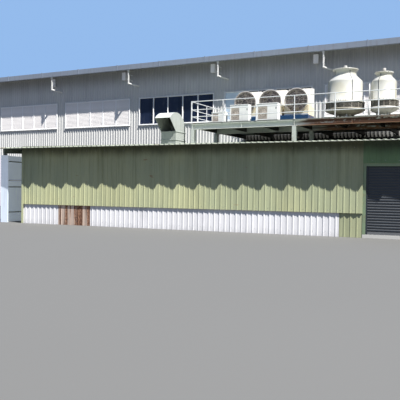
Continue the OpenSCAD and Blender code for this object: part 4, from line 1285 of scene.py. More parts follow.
class FACTORY_OT_annex_walls(Operator):
    """Paint the annex's sheets and add their flat pans, screws and corner strips"""

    bl_idname = "factory.annex_walls"
    bl_label = "Annex walls"

    def dress(self, context):
        size = sizes()
        run = lambda paint: skewed(paint)[0]
        depth = lambda paint: (size.skin - skewed(paint)[1]) / size.rib_height
        low_depth = lambda paint: (0.0 - skewed(paint)[1]) / size.rib_height
        tint = colours()
        dress("annex_front_wall", shared("sage_sheets", self.sage, run, depth))
        dress("annex_side_walls", shared("side_sheets", self.sage, lambda p: p.y, lambda p: p.z * 0.0))
        dress("annex_lintel_wall", shared(
            "deep_green_sheets", sheet_finish, tint.deep_green[:], run, depth, 0.05, rough=0.55, wear=1.3,
            soot=annex_soot,
        ))
        dress("annex_white_sheets", shared(
            "low_white_sheets", sheet_finish, tint.white_sheet[:], run, low_depth, 0.1, rough=0.45, wear=1.2,
            foot=0.25,
        ))
        dress("annex_rusty_sheets", shared("rusty_sheets", self.rusty, run))
        self.pans()
        self.screws()
        self.strips()

    def pans(self):
        """Flat pans between the ribs, which leave only low ribs in front."""
        size = sizes()
        line, corner = annex_axes()[0], annex_corner()
        low_end, _, low_top = annex_span("annex_white_sheets")[1]
        lower_edge = min(
            v.co.z for v in NODES["annex_front_wall"].data.vertices
            if (v.co - corner).dot(line) < low_end - 1.0
        )
        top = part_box("annex_front_wall")[1].z
        front, right = self.spans("annex_front_wall")
        panels = {"sage_sheets": ("green", [
            (front, lower_edge, top, size.skin), ((low_end + 0.01, front[1]), 0.0, low_top, 0.0),
            (right, 0.0, top, size.skin),
        ])}
        for node, slot, paint, outer in (
            ("annex_lintel_wall", "deep_green", "deep_green_sheets", size.skin),
            ("annex_white_sheets", "white_metal", "low_white_sheets", 0.0),
            ("annex_rusty_sheets", "rust", "rusty_sheets", 0.0),
        ):
            low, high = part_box(node)
            panels[paint] = (slot, [(span, low.z, high.z, outer) for span in self.spans(node)])
        place = annex_place()
        for paint, (slot, boxes) in panels.items():
            shape = Shape()
            for (start, end), low, high, outer in boxes:
                y = size.pan_depth - outer
                shape.box((start + 0.002, y, low + 0.001), (end - 0.002, y + 0.004, high - 0.001), place)
            shape.piece(paint + "_pans", slot, bpy.data.materials[paint])

    def sage(self, name, run, depth):
        """Faded green paint, yellower on some sheets, with a few rust marks."""
        paint = Finish(name)
        across = run(paint)
        valley = paint.between(depth(paint), 0.1, 1.0)
        sheet = paint.random(across / sizes().sheet, 7.0)
        rib = paint.random(across / sizes().rib, 2.0)
        cloud = paint.noise(0.5, 4, (1, 1, 0.7))
        streak = paint.noise(1, 4, (7, 7, 0.30), (1, 1, 1))
        fine = paint.noise(16, 4, (1, 1, 0.5))
        faded = tuple(min(1.0, c * k) for c, k in zip(colours().sage[:], (1.18, 1.12, 1.04)))
        body = paint.mix(paint.between(cloud, 0.35, 0.65), colours().sage[:], faded)
        tone = 1.0 + sheet.swing(0.10) + rib.swing(0.07) + fine.swing(0.10)
        body = paint.shade(body, tone - valley * 0.16)
        run_down = paint.between(streak, 0.5, 0.72)
        body = paint.mix(run_down * 0.30, body, linear(0.40, 0.42, 0.30))
        mark = paint.between(paint.noise(2.2, 5, (1, 1, 2.2), (9, 9, 9)), 0.68, 0.74)
        body = paint.mix(mark * 0.7, body, linear(0.55, 0.33, 0.18))
        # Painted shade: dark green under the annex's roof.
        body = paint.mix(annex_soot(paint), body, linear(0.08, 0.11, 0.05))
        normal = paint.bump(paint.noise(1, 2, (2, 2, 0.8)), 0.014, 0.5)
        normal = paint.lean(0.18, paint.bump(fine, 0.002, 0.4, normal))
        return paint.done(body, 0.5 + run_down * 0.2 + cloud.swing(0.15), normal)

    def rusty(self, name, run):
        """Old white sheets, rusted through along their ribs, with pale paint left between."""
        paint = Finish(name)
        across = run(paint)
        rib = paint.random(across / (sizes().rib / 2), 4.0)
        streak = paint.noise(1, 5, (11, 11, 0.6))
        fine = paint.noise(20, 5)
        rusted = paint.between(streak * 0.7 + rib * 0.5, 0.48, 0.62)
        rust = paint.ramp(
            fine, (0.28, 0.30, 0.20, 0.16), (0.46, 0.45, 0.31, 0.24), (0.60, 0.62, 0.48, 0.38),
            (0.75, 0.40, 0.27, 0.20),
        )
        pale = paint.shade(linear(0.80, 0.72, 0.66), 0.9 + fine * 0.2)
        body = paint.mix(rusted, pale, rust)
        return paint.done(body, 0.6 + rusted * 0.3, paint.bump(fine - rusted * 0.4, 0.004, 0.6))

    def screws(self):
        size = sizes()
        line, outward = annex_axes()
        jobs = []
        pitch = 2 * size.rib
        for node, heights in (
            ("annex_front_wall", (0.82, 1.45, 2.10, 2.72)), ("annex_lintel_wall", (2.32, 2.95)),
        ):
            for low, high in self.spans(node):
                count, first = valleys(low, high)
                for z in heights:
                    start = annex_point(first, size.skin - size.pan_depth, z)
                    jobs.append(rows(screw(outward), start, count, line * pitch))
        (low, *_), (high, *_) = annex_span("annex_white_sheets")
        count = valleys(low, high)[0]
        start = annex_point(low + size.rib, -size.pan_depth, 0.15)
        jobs.append(rows(screw(outward), start, count, line * pitch, 2, (0, 0, 0.45)))
        repeated("annex_wall_screws", zinc(), jobs)

    def spans(self, node):
        """Start and end along the front of each solid of a node."""
        line, corner = annex_axes()[0], annex_corner()
        return [
            ((low - corner).dot(line), (high - corner).dot(line)) for low, high in solids_of(node)
            if high.z - low.z > 0.5
        ]

    def strips(self):
        """Folded strips at the annex's corners."""
        leg, metal, below_roof = 0.09, 0.003, 2.84
        place = annex_place()
        skin = sizes().skin
        end = annex_span("annex_front_wall")[1][0]
        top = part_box("annex_front_wall")[1].z
        shape = Shape()
        for x, side, rise in ((0.0, 1, top - 0.18), (end, -1, top - 0.02)):
            outline = [
                (x - side * metal, -skin - metal), (x + side * leg, -skin - metal), (x + side * leg, -skin),
                (x, -skin), (x, leg), (x - side * metal, leg),
            ]
            shape.prism(outline, 0.0, min(rise, below_roof), "Z", place)
        shape.piece("annex_corner_strips", "pale_green", bpy.data.materials["sage_sheets"])


class FACTORY_OT_annex_roof(Operator):
    """Paint the stepped roof sheets, pale along their cut edges, and add their screws"""

    bl_idname = "factory.annex_roof"
    bl_label = "Annex roof"

    def dress(self, context):
        dress("annex_roof", shared("annex_roof_paint", self.sheets))
        self.screws()

    def sheets(self, name):
        """Faded sheets, pale on the ends of their ribs, with rust in streaks down the slope."""
        paint = Finish(name)
        facing = paint.facing("Y")
        first_rib = 3.04
        along = paint.x + first_rib
        rib = abs((along / sizes().rib).fraction() - 0.5)
        edge = paint.between(0 - facing, 0.75, 0.9) * (0.15 + 0.85 * paint.between(rib, 0.15, 0.19))
        # Painted shade: faces that look down are darkened, as they lie in shade.
        under = paint.between(0 - paint.facing("Z"), 0.5, 0.9)
        sheet = paint.random(along / sizes().sheet, 9.0)
        cloud = paint.noise(0.4, 5)
        fine = paint.noise(12, 4)
        streak = paint.noise(1, 4, (5, 0.35, 1), (2, 5, 1))
        rust = paint.between(streak * 0.6 + cloud * 0.4, 0.56, 0.66)
        tone = 1.0 + sheet.swing(0.16) + cloud.swing(0.2) + fine.swing(0.1)
        body = paint.shade(colours().annex_roof[:], tone)
        body = paint.mix(rust * 0.55, body, linear(0.46, 0.32, 0.22))
        # Painted shade on the undersides.
        body = paint.mix(under, body, linear(0.45, 0.47, 0.42))
        body = paint.mix(edge, body, linear(0.90, 0.90, 0.84))
        return paint.done(body, 0.5 + rust * 0.3, paint.bump(fine, 0.003, 0.4))

    def screws(self):
        size = sizes()
        low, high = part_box("annex_roof")
        spots = [v.co for v in NODES["annex_roof"].data.vertices]
        back = max(spots, key=lambda co: co.y)
        front = min(spots, key=lambda co: co.y)
        top_back = max(co.z for co in spots if co.y > back.y - 0.02)
        top_front = max(co.z for co in spots if co.y < front.y + 0.02)
        slope = (top_back - top_front) / (back.y - front.y)
        first = back.y - 0.35
        z = top_back - size.rib_height - (back.y - first) * slope
        count, apart = 9, 1.35
        jobs = []
        for rib in (1, 3):
            x = low.x + rib * size.rib
            jobs.append(rows(
                screw((0, -slope, 1)), (x, first, z), int((high.x - x) / size.sheet) + 1, (size.sheet, 0, 0),
                count, (0, -apart, -apart * slope),
            ))
        repeated("annex_roof_screws", zinc(), jobs)


class FACTORY_OT_shutter(Operator):
    """Finish the roller shutter and add guides, a bottom rail, handles and a lock plate"""

    bl_idname = "factory.shutter"
    bl_label = "Roller shutter"

    def dress(self, context):
        dress("shutter_curtain", shared("shutter_slats", self.slats))
        frame = shared("shutter_frame_paint", steel_finish, linear(0.52, 0.60, 0.48), rust_share=0.2)
        dress("shutter_frame", frame)
        self.fittings()

    def slats(self, name):
        """Dark enamel, dusty on the slats' upper faces."""
        paint = Finish(name)
        dust = paint.between(paint.facing("Z"), 0.1, 0.8)
        cloud = paint.noise(1.2, 4)
        fine = paint.noise(22, 3)
        body = paint.shade(colours().shutter[:], 1.0 + cloud.swing(0.4) + fine.swing(0.2))
        body = paint.mix(dust * 0.35, body, linear(0.55, 0.55, 0.54))
        return paint.done(body, 0.42 + dust * 0.25, paint.bump(fine, 0.001, 0.3))

    def fittings(self):
        (left, _, foot), (right, out, top) = annex_span("shutter_curtain")
        place = annex_place()
        front, middle = -out, (left + right) / 2
        wide, handle = 0.05, 0.10
        guides, rail, lock = Shape(), Shape(), Shape()
        for x0, x1 in ((left - 0.004, left + wide), (right - wide, right + 0.004)):
            guides.box((x0, front - 0.022, foot), (x1, front - 0.002, top), place)
            guides.box((x0, front - 0.022, foot), (x0 + 0.006, front + 0.02, top), place)
        guides.piece("shutter_guides", "shutter", shared("shutter_slats", self.slats), bevel=0.002)
        rail.box(
            (left + 0.055, front - 0.014, foot + 0.002), (right - 0.055, front - 0.001, foot + 0.085), place,
        )
        for x in (middle - 0.55, middle + 0.45):
            rail.box((x, front - 0.030, foot + 0.045), (x + handle, front - 0.014, foot + 0.057), place)
        rail.piece("shutter_bottom_rail", "shutter", dark_metal(), bevel=0.003)
        key = foot + 0.98
        lock.box(
            (middle - 0.05, front - 0.012, key - 0.05), (middle + 0.05, front + 0.004, key + 0.05), place,
        )
        lock.tube(
            place @ Vector((middle, front - 0.018, key)), place @ Vector((middle, front - 0.008, key)),
            0.018, 16,
        )
        lock.piece("shutter_lock", "white_metal", zinc(), bevel=0.002)


class FACTORY_OT_recess(Operator):
    """Finish the screen and shelf in the covered recess"""

    bl_idname = "factory.recess"
    bl_label = "Recess"

    def dress(self, context):
        pale = linear(0.86, 0.90, 0.95)
        sheet = shared("screen_sheet", casing_finish, pale, rough=0.5, coat=0.0)
        # Painted light: a weak pale blue glow on the screen, which is no lamp.
        painted_glow = sheet.node_tree.nodes["Principled BSDF"]
        painted_glow.inputs["Emission Color"].default_value = (0.72, 0.82, 0.95, 1.0)
        painted_glow.inputs["Emission Strength"].default_value = 0.22
        dress("recess_screen", sheet)
        dress("recess_shelf", shared("shelf_board", casing_finish, linear(0.84, 0.84, 0.83), rough=0.5))
        self.battens()

    def battens(self):
        """Battens that stiffen the screen's back and its open edge."""
        place = annex_place()
        x = annex_span("recess_screen")[0][0]
        shape = Shape()
        for z in (0.35, 1.35, 2.35):
            shape.box((x + 0.041, 0.06, z), (x + 0.075, 2.35, z + 0.05), place)
        shape.piece("screen_battens", "white_metal", trim_paint(), bevel=0.004)


class FACTORY_OT_duct(Operator):
    """Finish the exhaust duct and add its flanges and rivets"""

    bl_idname = "factory.duct"
    bl_label = "Exhaust duct"

    def dress(self, context):
        paint = shared("duct_paint", self.duct)
        dress("exhaust_duct", paint)
        self.flanges(paint)

    def duct(self, name):
        """Faded pale green sheet, a painted highlight on top, painted shade inside its mouth."""
        paint = Finish(name)
        low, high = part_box("exhaust_duct")
        upward = paint.facing("Z")
        # Painted highlight: upward faces are made whiter, where the sun falls on the top.
        painted_top_light = paint.between(upward, 0.3, 0.8)
        within = paint.between(paint.x, low.x + 0.071, low.x + 0.080) * (
            1 - paint.between(paint.x, high.x - 0.080, high.x - 0.071)
        )
        # Painted shade on the downward faces inside the mouth.
        soot = within * paint.between(0 - upward, 0.2, 0.6)
        cloud = paint.noise(1, 4)
        streak = paint.noise(1, 4, (8, 8, 0.5))
        run = paint.between(streak, 0.5, 0.7)
        body = paint.shade(colours().duct[:], 1.0 + cloud.swing(0.18))
        body = paint.mix(run * 0.25, body, linear(0.48, 0.50, 0.44))
        body = paint.mix(painted_top_light * 0.8, body, linear(0.84, 0.86, 0.84))
        body = paint.mix(soot * 0.85, body, linear(0.12, 0.13, 0.11))
        return paint.done(body, 0.5 + run * 0.2, paint.bump(cloud, 0.012, 0.4))

    def flanges(self, paint):
        low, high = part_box("exhaust_duct")
        curb, deep = 0.07, 0.90
        out, thick, gap = 0.022, 0.03, 0.0005
        x0, x1 = low.x + curb, high.x - curb
        y1 = high.y - curb
        y0 = y1 - deep
        shape = Shape()
        for z in (3.62, 4.0):
            top = z + thick
            shape.boxes((
                ((x0 - out, y0 - out, z), (x1 + out, y0 - gap, top)),
                ((x0 - out, y1 + gap, z), (x1 + out, y1 + out, top)),
                ((x0 - out, y0 - gap, z), (x0 - gap, y1 + gap, top)),
                ((x1 + gap, y0 - gap, z), (x1 + out, y1 + gap, top)),
            ))
        shape.piece("duct_flanges", "grey_green", paint, bevel=0.002)
        step, first, upper, lower = 0.14, 0.05, 3.92, (0, 0, -0.2)
        jobs = [
            rows(screw((0, turn, 0)), (x0 + first, y, upper), 6, (step, 0, 0), 2, lower)
            for turn, y in ((-1, y0 - gap), (1, y1 + gap))
        ] + [
            rows(screw((turn, 0, 0)), (x, y0 + first, upper), 7, (0, step, 0), 2, lower)
            for turn, x in ((-1, x0 - gap), (1, x1 + gap))
        ]
        repeated("duct_rivets", zinc(), jobs)


class FACTORY_OT_platform(Operator):
    """Finish the platform's steel, rusty towards its right end, and add plates and bolts"""

    bl_idname = "factory.platform"
    bl_label = "Platform"

    def dress(self, context):
        tint = colours().grey_green[:]
        low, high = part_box("platform_deck")
        start = low.x + 0.35 * (high.x - low.x)
        dress("platform_edge_beams", shared("edge_beam_paint", self.beam, start))
        dress("platform_posts", shared("post_paint", steel_finish, tint, 0.15))
        dress("platform_cross_beams", shared("cross_beam_paint", steel_finish, linear(0.20, 0.21, 0.20), 0.3))
        dress("platform_deck", shared("deck_plates", self.deck, start))
        self.stiffeners()
        self.bolts()

    def beam(self, name, start):
        """Pale steel with a painted highlight on its lower flange, rusted in long streaks towards its right
        end.
        """
        paint = Finish(name)
        low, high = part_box("platform_edge_beams")
        height = (paint.z - low.z) / (high.z - low.z)
        streak = paint.noise(1, 5, (0.9, 1, 16), (3, 0, 1))
        fine = paint.noise(11, 5, (0.5, 1, 1))
        edge = paint.between(paint.x + streak.swing(2.6), start - 0.3, start + 0.7)
        spots = paint.between(streak * 0.5 + fine * 0.5, 0.60, 0.70) * 0.5
        rusted = (edge * paint.between(streak * 0.5 + fine * 0.5, 0.36, 0.46)).most(spots)
        lower = 1 - paint.between(height + streak.swing(0.7), 0.32, 0.66)
        rust = paint.mix(lower, linear(0.33, 0.24, 0.20), linear(0.56, 0.42, 0.33))
        rust = paint.shade(rust, 0.75 + fine * 0.5)
        body = paint.shade(colours().grey_green[:], 1.0 + fine.swing(0.14) + streak.swing(0.24))
        # Painted highlight: the lower flange is made near white, as if sunlit.
        body = paint.mix(1 - paint.between(height, 0.07, 0.11), body, linear(0.88, 0.89, 0.87))
        body = paint.mix(rusted, body, rust)
        return paint.done(body, 0.45 + rusted * 0.4, paint.lean(0.12, paint.bump(fine - rusted, 0.003, 0.5)))

    def deck(self, name, start):
        """Chequered steel plates with joints, rust and dust."""
        paint = Finish(name)
        broad = paint.noise(0.8, 5)
        fine = paint.noise(12, 5)
        share = broad * 0.6 + fine * 0.4 + paint.between(paint.x, start - 0.2, start + 1.0) * 0.06
        rusted = paint.between(share, 0.56, 0.72)
        one, other = (abs((way / 0.05).fraction() - 0.5) for way in (paint.x + paint.y, paint.x - paint.y))
        raised = paint.between(one * other, 0.10, 0.16)
        joint = 1 - paint.between(abs((paint.x / 1.22).fraction() - 0.5), 0.0, 0.006)
        rust = paint.ramp(
            fine, (0.30, 0.24, 0.13, 0.09), (0.50, 0.46, 0.25, 0.14), (0.65, 0.60, 0.36, 0.20),
            (0.80, 0.34, 0.20, 0.13),
        )
        body = paint.shade(linear(0.48, 0.50, 0.47), 1.0 + broad.swing(0.2))
        body = paint.mix(rusted, body, rust)
        body = paint.mix(joint * 0.8, body, linear(0.1, 0.09, 0.08))
        return paint.done(
            body, 0.55 + rusted * 0.3, paint.bump(raised * 0.5 + fine * 0.2 - joint, 0.004, 0.6)
        )

    def stiffeners(self):
        """Upright plates between the flanges of the edge beams, over the posts and halfway."""
        shape = Shape()
        half, web, flange, inset = 0.006, 0.0065, 0.0165, 0.004
        posts = sorted({round((low.x + high.x) / 2, 3) for low, high in solids_of("platform_posts")})
        spots = posts + [(a + b) / 2 for a, b in zip(posts, posts[1:])]
        for low, high in solids_of("platform_edge_beams"):
            middle, reach = (low.y + high.y) / 2, (high.y - low.y) / 2 - inset
            for x in spots:
                for side in (-1, 1):
                    shape.box(
                        (x - half, middle + side * web, low.z + flange),
                        (x + half, middle + side * reach, high.z - flange),
                    )
        shape.piece("beam_stiffeners", "grey_green", bpy.data.materials["edge_beam_paint"])

    def bolts(self):
        """Cap plates with bolts where the posts meet the beams."""
        shape, head = Shape(), bolt((0, 0, -1), 0.011)
        out, thick, edge = 0.02, 0.014, 0.03
        jobs = []
        for low, high in solids_of("platform_posts"):
            z = high.z - thick
            shape.box((low.x - out, low.y, z), (high.x + out, high.y, high.z - 0.0005))
            for x in (low.x + edge, high.x - edge):
                for y in (low.y + edge, high.y - edge):
                    jobs.append(rows(head, (x, y, z), 1, (0, 0, 0)))
        shape.piece("post_cap_plates", "grey_green", bpy.data.materials["post_paint"], bevel=0.002)
        repeated("post_bolts", zinc(), jobs)


class FACTORY_OT_rails(Operator):
    """Finish the rails and add their corner bends and feet"""

    bl_idname = "factory.rails"
    bl_label = "Rails"

    def dress(self, context):
        paint = shared("rail_paint", steel_finish, linear(0.86, 0.87, 0.88), rust_share=0.12, rough=0.35)
        for node in ("front_rail", "side_rails"):
            dress(node, paint)
        self.corners(paint)
        self.feet(paint)

    def corners(self, paint):
        """Short bends that join the front rail to the side rails."""
        low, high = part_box("front_rail")
        radius = sizes().rail
        tube = radius * 0.85
        y = (low.y + high.y) / 2
        back = solids_of("side_rails")[0][0].y
        shape = Shape()
        for x in (low.x + radius, high.x - radius):
            for share in (0.3, 0.62, 1.0):
                z = low.z + share * (high.z - low.z - tube)
                shape.pipe([(x, y, z), (x, back + radius, z)], tube)
                shape.ball((x, y, z), radius * 1.05, 16)
        shape.piece("rail_corner_bends", "white_metal", paint)

    def feet(self, paint):
        """Square foot plates under the posts."""
        low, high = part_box("front_rail")
        size = sizes()
        left, right = low.x + size.rail, high.x - size.rail
        y = (low.y + high.y) / 2
        foot = Shape()
        foot.box((-0.045, -0.045, 0.0003), (0.045, 0.045, 0.008))
        foot.tube((0, 0, 0.008), (0, 0, 0.02), size.rail + 0.007, 14)
        foot = item(foot)
        second = left + 2 * size.rail_near
        even = int((right - second) / size.rail_pitch) + 1
        side_low, side_high = solids_of("side_rails")[0]
        run = (side_high.y - side_low.y - 2 * size.rail) / 4
        jobs = [
            rows(foot, (left, y, low.z), 2, (size.rail_near, 0, 0)),
            rows(foot, (second, y, low.z), even, (size.rail_pitch, 0, 0)),
            rows(foot, (right, y, low.z), 1, (0, 0, 0)),
            rows(foot, (left, side_low.y + size.rail + run, low.z), 2, (right - left, 0, 0), 4, (0, run, 0)),
        ]
        repeated("rail_feet", paint, jobs)


class FACTORY_OT_outdoor_units(Operator):
    """Build the three outdoor units: casing, grille, fan, side louvres and covers"""

    bl_idname = "factory.outdoor_units"
    bl_label = "Outdoor units"

    def dress(self, context):
        paint = shared("unit_casing", casing_finish, linear(0.98, 0.98, 0.97), rough=0.35, coat=0.3)
        casings, grilles, fans, dark = Shape(), Shape(), Shape(), Shape()
        jobs = []
        for low, high in solids_of("ac_units"):
            self.unit(low, high, casings, grilles, fans, dark, jobs)
        casing = casings.piece("unit_casings", "white_metal", paint, bevel=0.012)
        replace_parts(casing, "ac_units")
        beige = shared("unit_grille_plastic", casing_finish, colours().grille[:], rough=0.5, coat=0.0)
        grilles.piece("unit_grille_panels", "cream", beige, bevel=0.002)
        fan_paint = shared("unit_fan_plastic", casing_finish, linear(0.46, 0.42, 0.39))
        fans.piece("unit_fans", "dark_metal", fan_paint)
        dark.piece("unit_slits", "dark_metal", dark_metal())
        light = shared("unit_grille_wire", casing_finish, linear(0.80, 0.76, 0.72), rough=0.45, coat=0.1)
        repeated("unit_grille_rings", light, jobs)

    def unit(self, low, high, casings, grilles, fans, dark, jobs):
        """One unit: a box with a square pocket at the left of its front."""
        foot, brim, pocket, lid, rim = 0.05, 0.012, 0.030, 0.03, 0.012
        wide, tall = high.x - low.x, high.z - low.z - foot
        z0, z1 = low.z + foot, high.z
        y0, y1 = low.y + brim, high.y
        px0, px1 = low.x + wide * 0.075, low.x + wide * 0.50
        pz0, pz1 = z0 + tall * 0.07, z0 + tall * 0.83
        skin, deep = 0.003, 0.08
        for x0, x1, b0, b1, front in (
            (low.x + skin, px0, z0, z1 - lid, y0), (px1, high.x - skin, z0, z1 - lid, y0),
            (px0, px1, z0, pz0, y0), (px0, px1, pz1, z1 - lid, y0), (px0, px1, pz0, pz1, y0 + pocket),
        ):
            casings.box((x0, front, b0), (x1, y0 + deep, b1))
        casings.box((low.x + skin, y0 + deep, z0), (high.x - skin, y1 - skin, z1 - lid))
        casings.box((low.x, y0 - brim, z1 - lid), (high.x, y1, z1))
        for x in (low.x + 0.09, high.x - 0.15):
            casings.box((x, low.y + 0.03, low.z), (x + 0.06, y1 - 0.03, z0))
        middle = Vector(((px0 + px1) / 2, y0 + 0.008, (pz0 + pz1) / 2))
        radius = min(px1 - px0, pz1 - pz0) * 0.47
        grilles.bars((px0, y0 + 0.001, pz0), (px1, y0 + pocket, pz1), rim)
        grilles.box((px0 + rim, y0 + 0.024, pz0 + rim), (px1 - rim, y0 + pocket, pz1 - rim))
        fans.tube(middle + Vector((0, 0.0135, 0)), middle + Vector((0, 0.0155, 0)), radius, 40)
        grilles.tube(middle - Vector((0, 0.006, 0)), middle + Vector((0, 0.006, 0)), radius * 0.2, 28)
        jobs.append(job(wires_tree, 14, radius * 0.22, radius * 0.055, 0.004, FORWARD, middle))
        jobs.append(ring(self.spoke(radius * 0.8), 20, radius * 0.18, 0.1, FORWARD, middle))
        bars = int((pz1 - pz0) / 0.022)
        for k in range(1, bars):
            z = pz0 + rim + (pz1 - pz0 - 2 * rim) * k / bars
            half = math.sqrt(max(0.0, radius ** 2 - (z - middle.z) ** 2))
            for a, b in ((px0 + rim, middle.x - half), (middle.x + half, px1 - rim)):
                if b - a > 0.004:
                    grilles.box((a, y0 + 0.004, z - 0.006), (b, y0 + 0.010, z + 0.006))
        dark.box(
            (low.x + wide * 0.89, y0 - 0.001, z1 - tall * 0.37),
            (low.x + wide * 0.935, y0 + 0.004, z1 - tall * 0.25),
        )
        seam = z0 + tall * 0.45
        dark.box((px1 + 0.01, y0 - 0.0004, seam), (high.x - 0.02, y0 + 0.002, seam + 0.004))
        for k in range(7):
            z = z0 + tall * (0.2 + 0.09 * k)
            for x in (high.x - 0.0045, low.x + 0.0025):
                dark.box((x, y0 + 0.12, z), (x + 0.002, y1 - 0.06, z + 0.008))


class FACTORY_OT_fans(Operator):
    """Finish the fan units and their rotors, and add guard rings, hub caps, bolts and rear fins"""

    bl_idname = "factory.fans"
    bl_label = "Fan units"

    def dress(self, context):
        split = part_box("fan_housings")[0].z + 0.42
        housing = shared("fan_casing", casing_finish, colours().casing[:], colours().cream[:], split, 0.4)
        dress("fan_housings", housing)
        dress("fan_base", shared("blue_base", steel_finish, colours().blue[:], rust_share=0.2))
        wire = shared("guard_wire", steel_finish, linear(0.66, 0.63, 0.61), rust_share=0.1, rough=0.4)
        dress("fan_guards", wire)
        for k in range(3):
            dress("fan_rotor_%d" % (k + 1), shared("rotor_metal", self.rotor))
        self.guards()
        self.caps()
        self.backs(housing)
        self.lower_casings()

    def rotor(self, name):
        """Grey blades, darker in places with dust."""
        paint = Finish(name)
        cloud = paint.noise(3, 4)
        fine = paint.noise(30, 3)
        body = paint.shade(colours().blade[:], 1.0 + cloud.swing(0.4))
        body = paint.mix(paint.between(fine, 0.5, 0.75) * 0.3, body, linear(0.30, 0.27, 0.24))
        return paint.done(body, 0.45 + fine * 0.2, paint.bump(fine, 0.001, 0.3))

    def axes(self):
        """Each fan's axis at the front of its guard, as a point."""
        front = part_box("fan_guards")[0].y
        return [
            Vector(((low.x + high.x) / 2, front, (low.z + high.z) / 2))
            for low, high in solids_of("fan_guards")
        ]

    def guards(self):
        """Thin rings and spokes in front of each rotor, and bolts round the guard's rim."""
        size = sizes()
        inner, step, hub, reach, rim = 0.175, 0.033, 0.15, 0.38, 0.546
        first = math.pi / 12
        jobs = []
        for centre in self.axes():
            wires, spokes, heads = (centre + Vector((0, back, 0)) for back in (0.012, 0.010, 0.0005))
            jobs += [
                job(wires_tree, size.rings, inner, step, size.wire, FORWARD, wires),
                ring(self.spoke(reach), 12, hub, first, FORWARD, spokes),
                ring(bolt((0, 0, 1), 0.008), 12, rim, first, FORWARD, heads),
            ]
        repeated("fan_guard_rings", bpy.data.materials["guard_wire"], jobs)

    def caps(self):
        """A rounded cap on each rotor's hub, which turns with it."""
        hub = 0.12
        line = (
            (0.0, 0.0), (hub * 0.99, 0.0), (hub * 0.96, 0.012), (hub * 0.8, 0.022), (hub * 0.45, 0.028),
            (0.0, 0.03),
        )
        for k, centre in enumerate(self.axes(), 1):
            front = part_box("fan_rotor_%d" % k)[0].y
            shape = Shape()
            shape.turned(line, Vector(), 32, closed=False)
            turn = Matrix.Translation((centre.x, front, centre.z)) @ Matrix.Rotation(math.pi / 2, 4, "X")
            bmesh.ops.transform(shape.mesh, matrix=turn, verts=shape.mesh.verts)
            shape.piece("rotor_cap_%d" % k, "dark_metal", bpy.data.materials["rotor_metal"], "rotor_%d" % k)

    def lower_casings(self):
        """Closed casings under the drums, from the base up their flanks, with a strip along the base."""
        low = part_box("fan_housings")[0]
        drum, side, flank, gap = 0.567, 0.58, 0.235, 0.0005
        reach = math.asin(flank / drum)
        arc = [math.pi + reach + k * (math.pi - 2 * reach) / 24 for k in range(25)]
        foot = low.z + gap
        shape, strip = Shape(), Shape()
        for centre in self.axes():
            left, right, level = centre.x - side, centre.x + side, centre.z - flank
            outline = [(left, foot), (left, level)]
            outline += [(centre.x + drum * math.cos(a), centre.z + drum * math.sin(a)) for a in arc]
            outline += [(right, level), (right, foot)]
            shape.prism(outline, low.y + 0.06, low.y + 0.615, "Y")
            strip.box((left, low.y + 0.045, foot), (right, low.y + 0.0595, low.z + 0.07))
        cream = shared("lower_casing", casing_finish, colours().cream[:], rough=0.4)
        shape.piece("fan_lower_casings", "cream", cream)
        strip.piece("fan_base_strips", "white_metal", trim_paint(), bevel=0.002)

    def backs(self, housing):
        """Finned coils in the backs of the housings, in frames."""
        edge, wide, deep, gap, pitch = 0.07, 0.03, 0.022, 0.0003, 0.012
        jobs = []
        frame = Shape()
        for low, high in solids_of("fan_housings"):
            x0, x1 = low.x + edge, high.x - edge
            z0, z1 = low.z + edge, high.z - edge
            y = high.y
            for a, b, c, d in (
                (x0 - wide, x1 + wide, z0 - wide, z0), (x0 - wide, x1 + wide, z1, z1 + wide),
                (x0 - wide, x0, z0, z1), (x1, x1 + wide, z0, z1),
            ):
                frame.box((a, y + gap, c), (b, y + deep, d))
            fin = Shape()
            fin.box((-0.0015, gap, 0), (0.0015, 0.016, z1 - z0))
            count = int((x1 - x0) / pitch)
            step = (x1 - x0 - pitch) / (count - 1)
            jobs.append(rows(item(fin), (x0 + pitch / 2, y, z0), count, (step, 0, 0)))
        frame.piece("coil_frames", "cream", housing, bevel=0.002)
        repeated("coil_fins", zinc(), jobs)


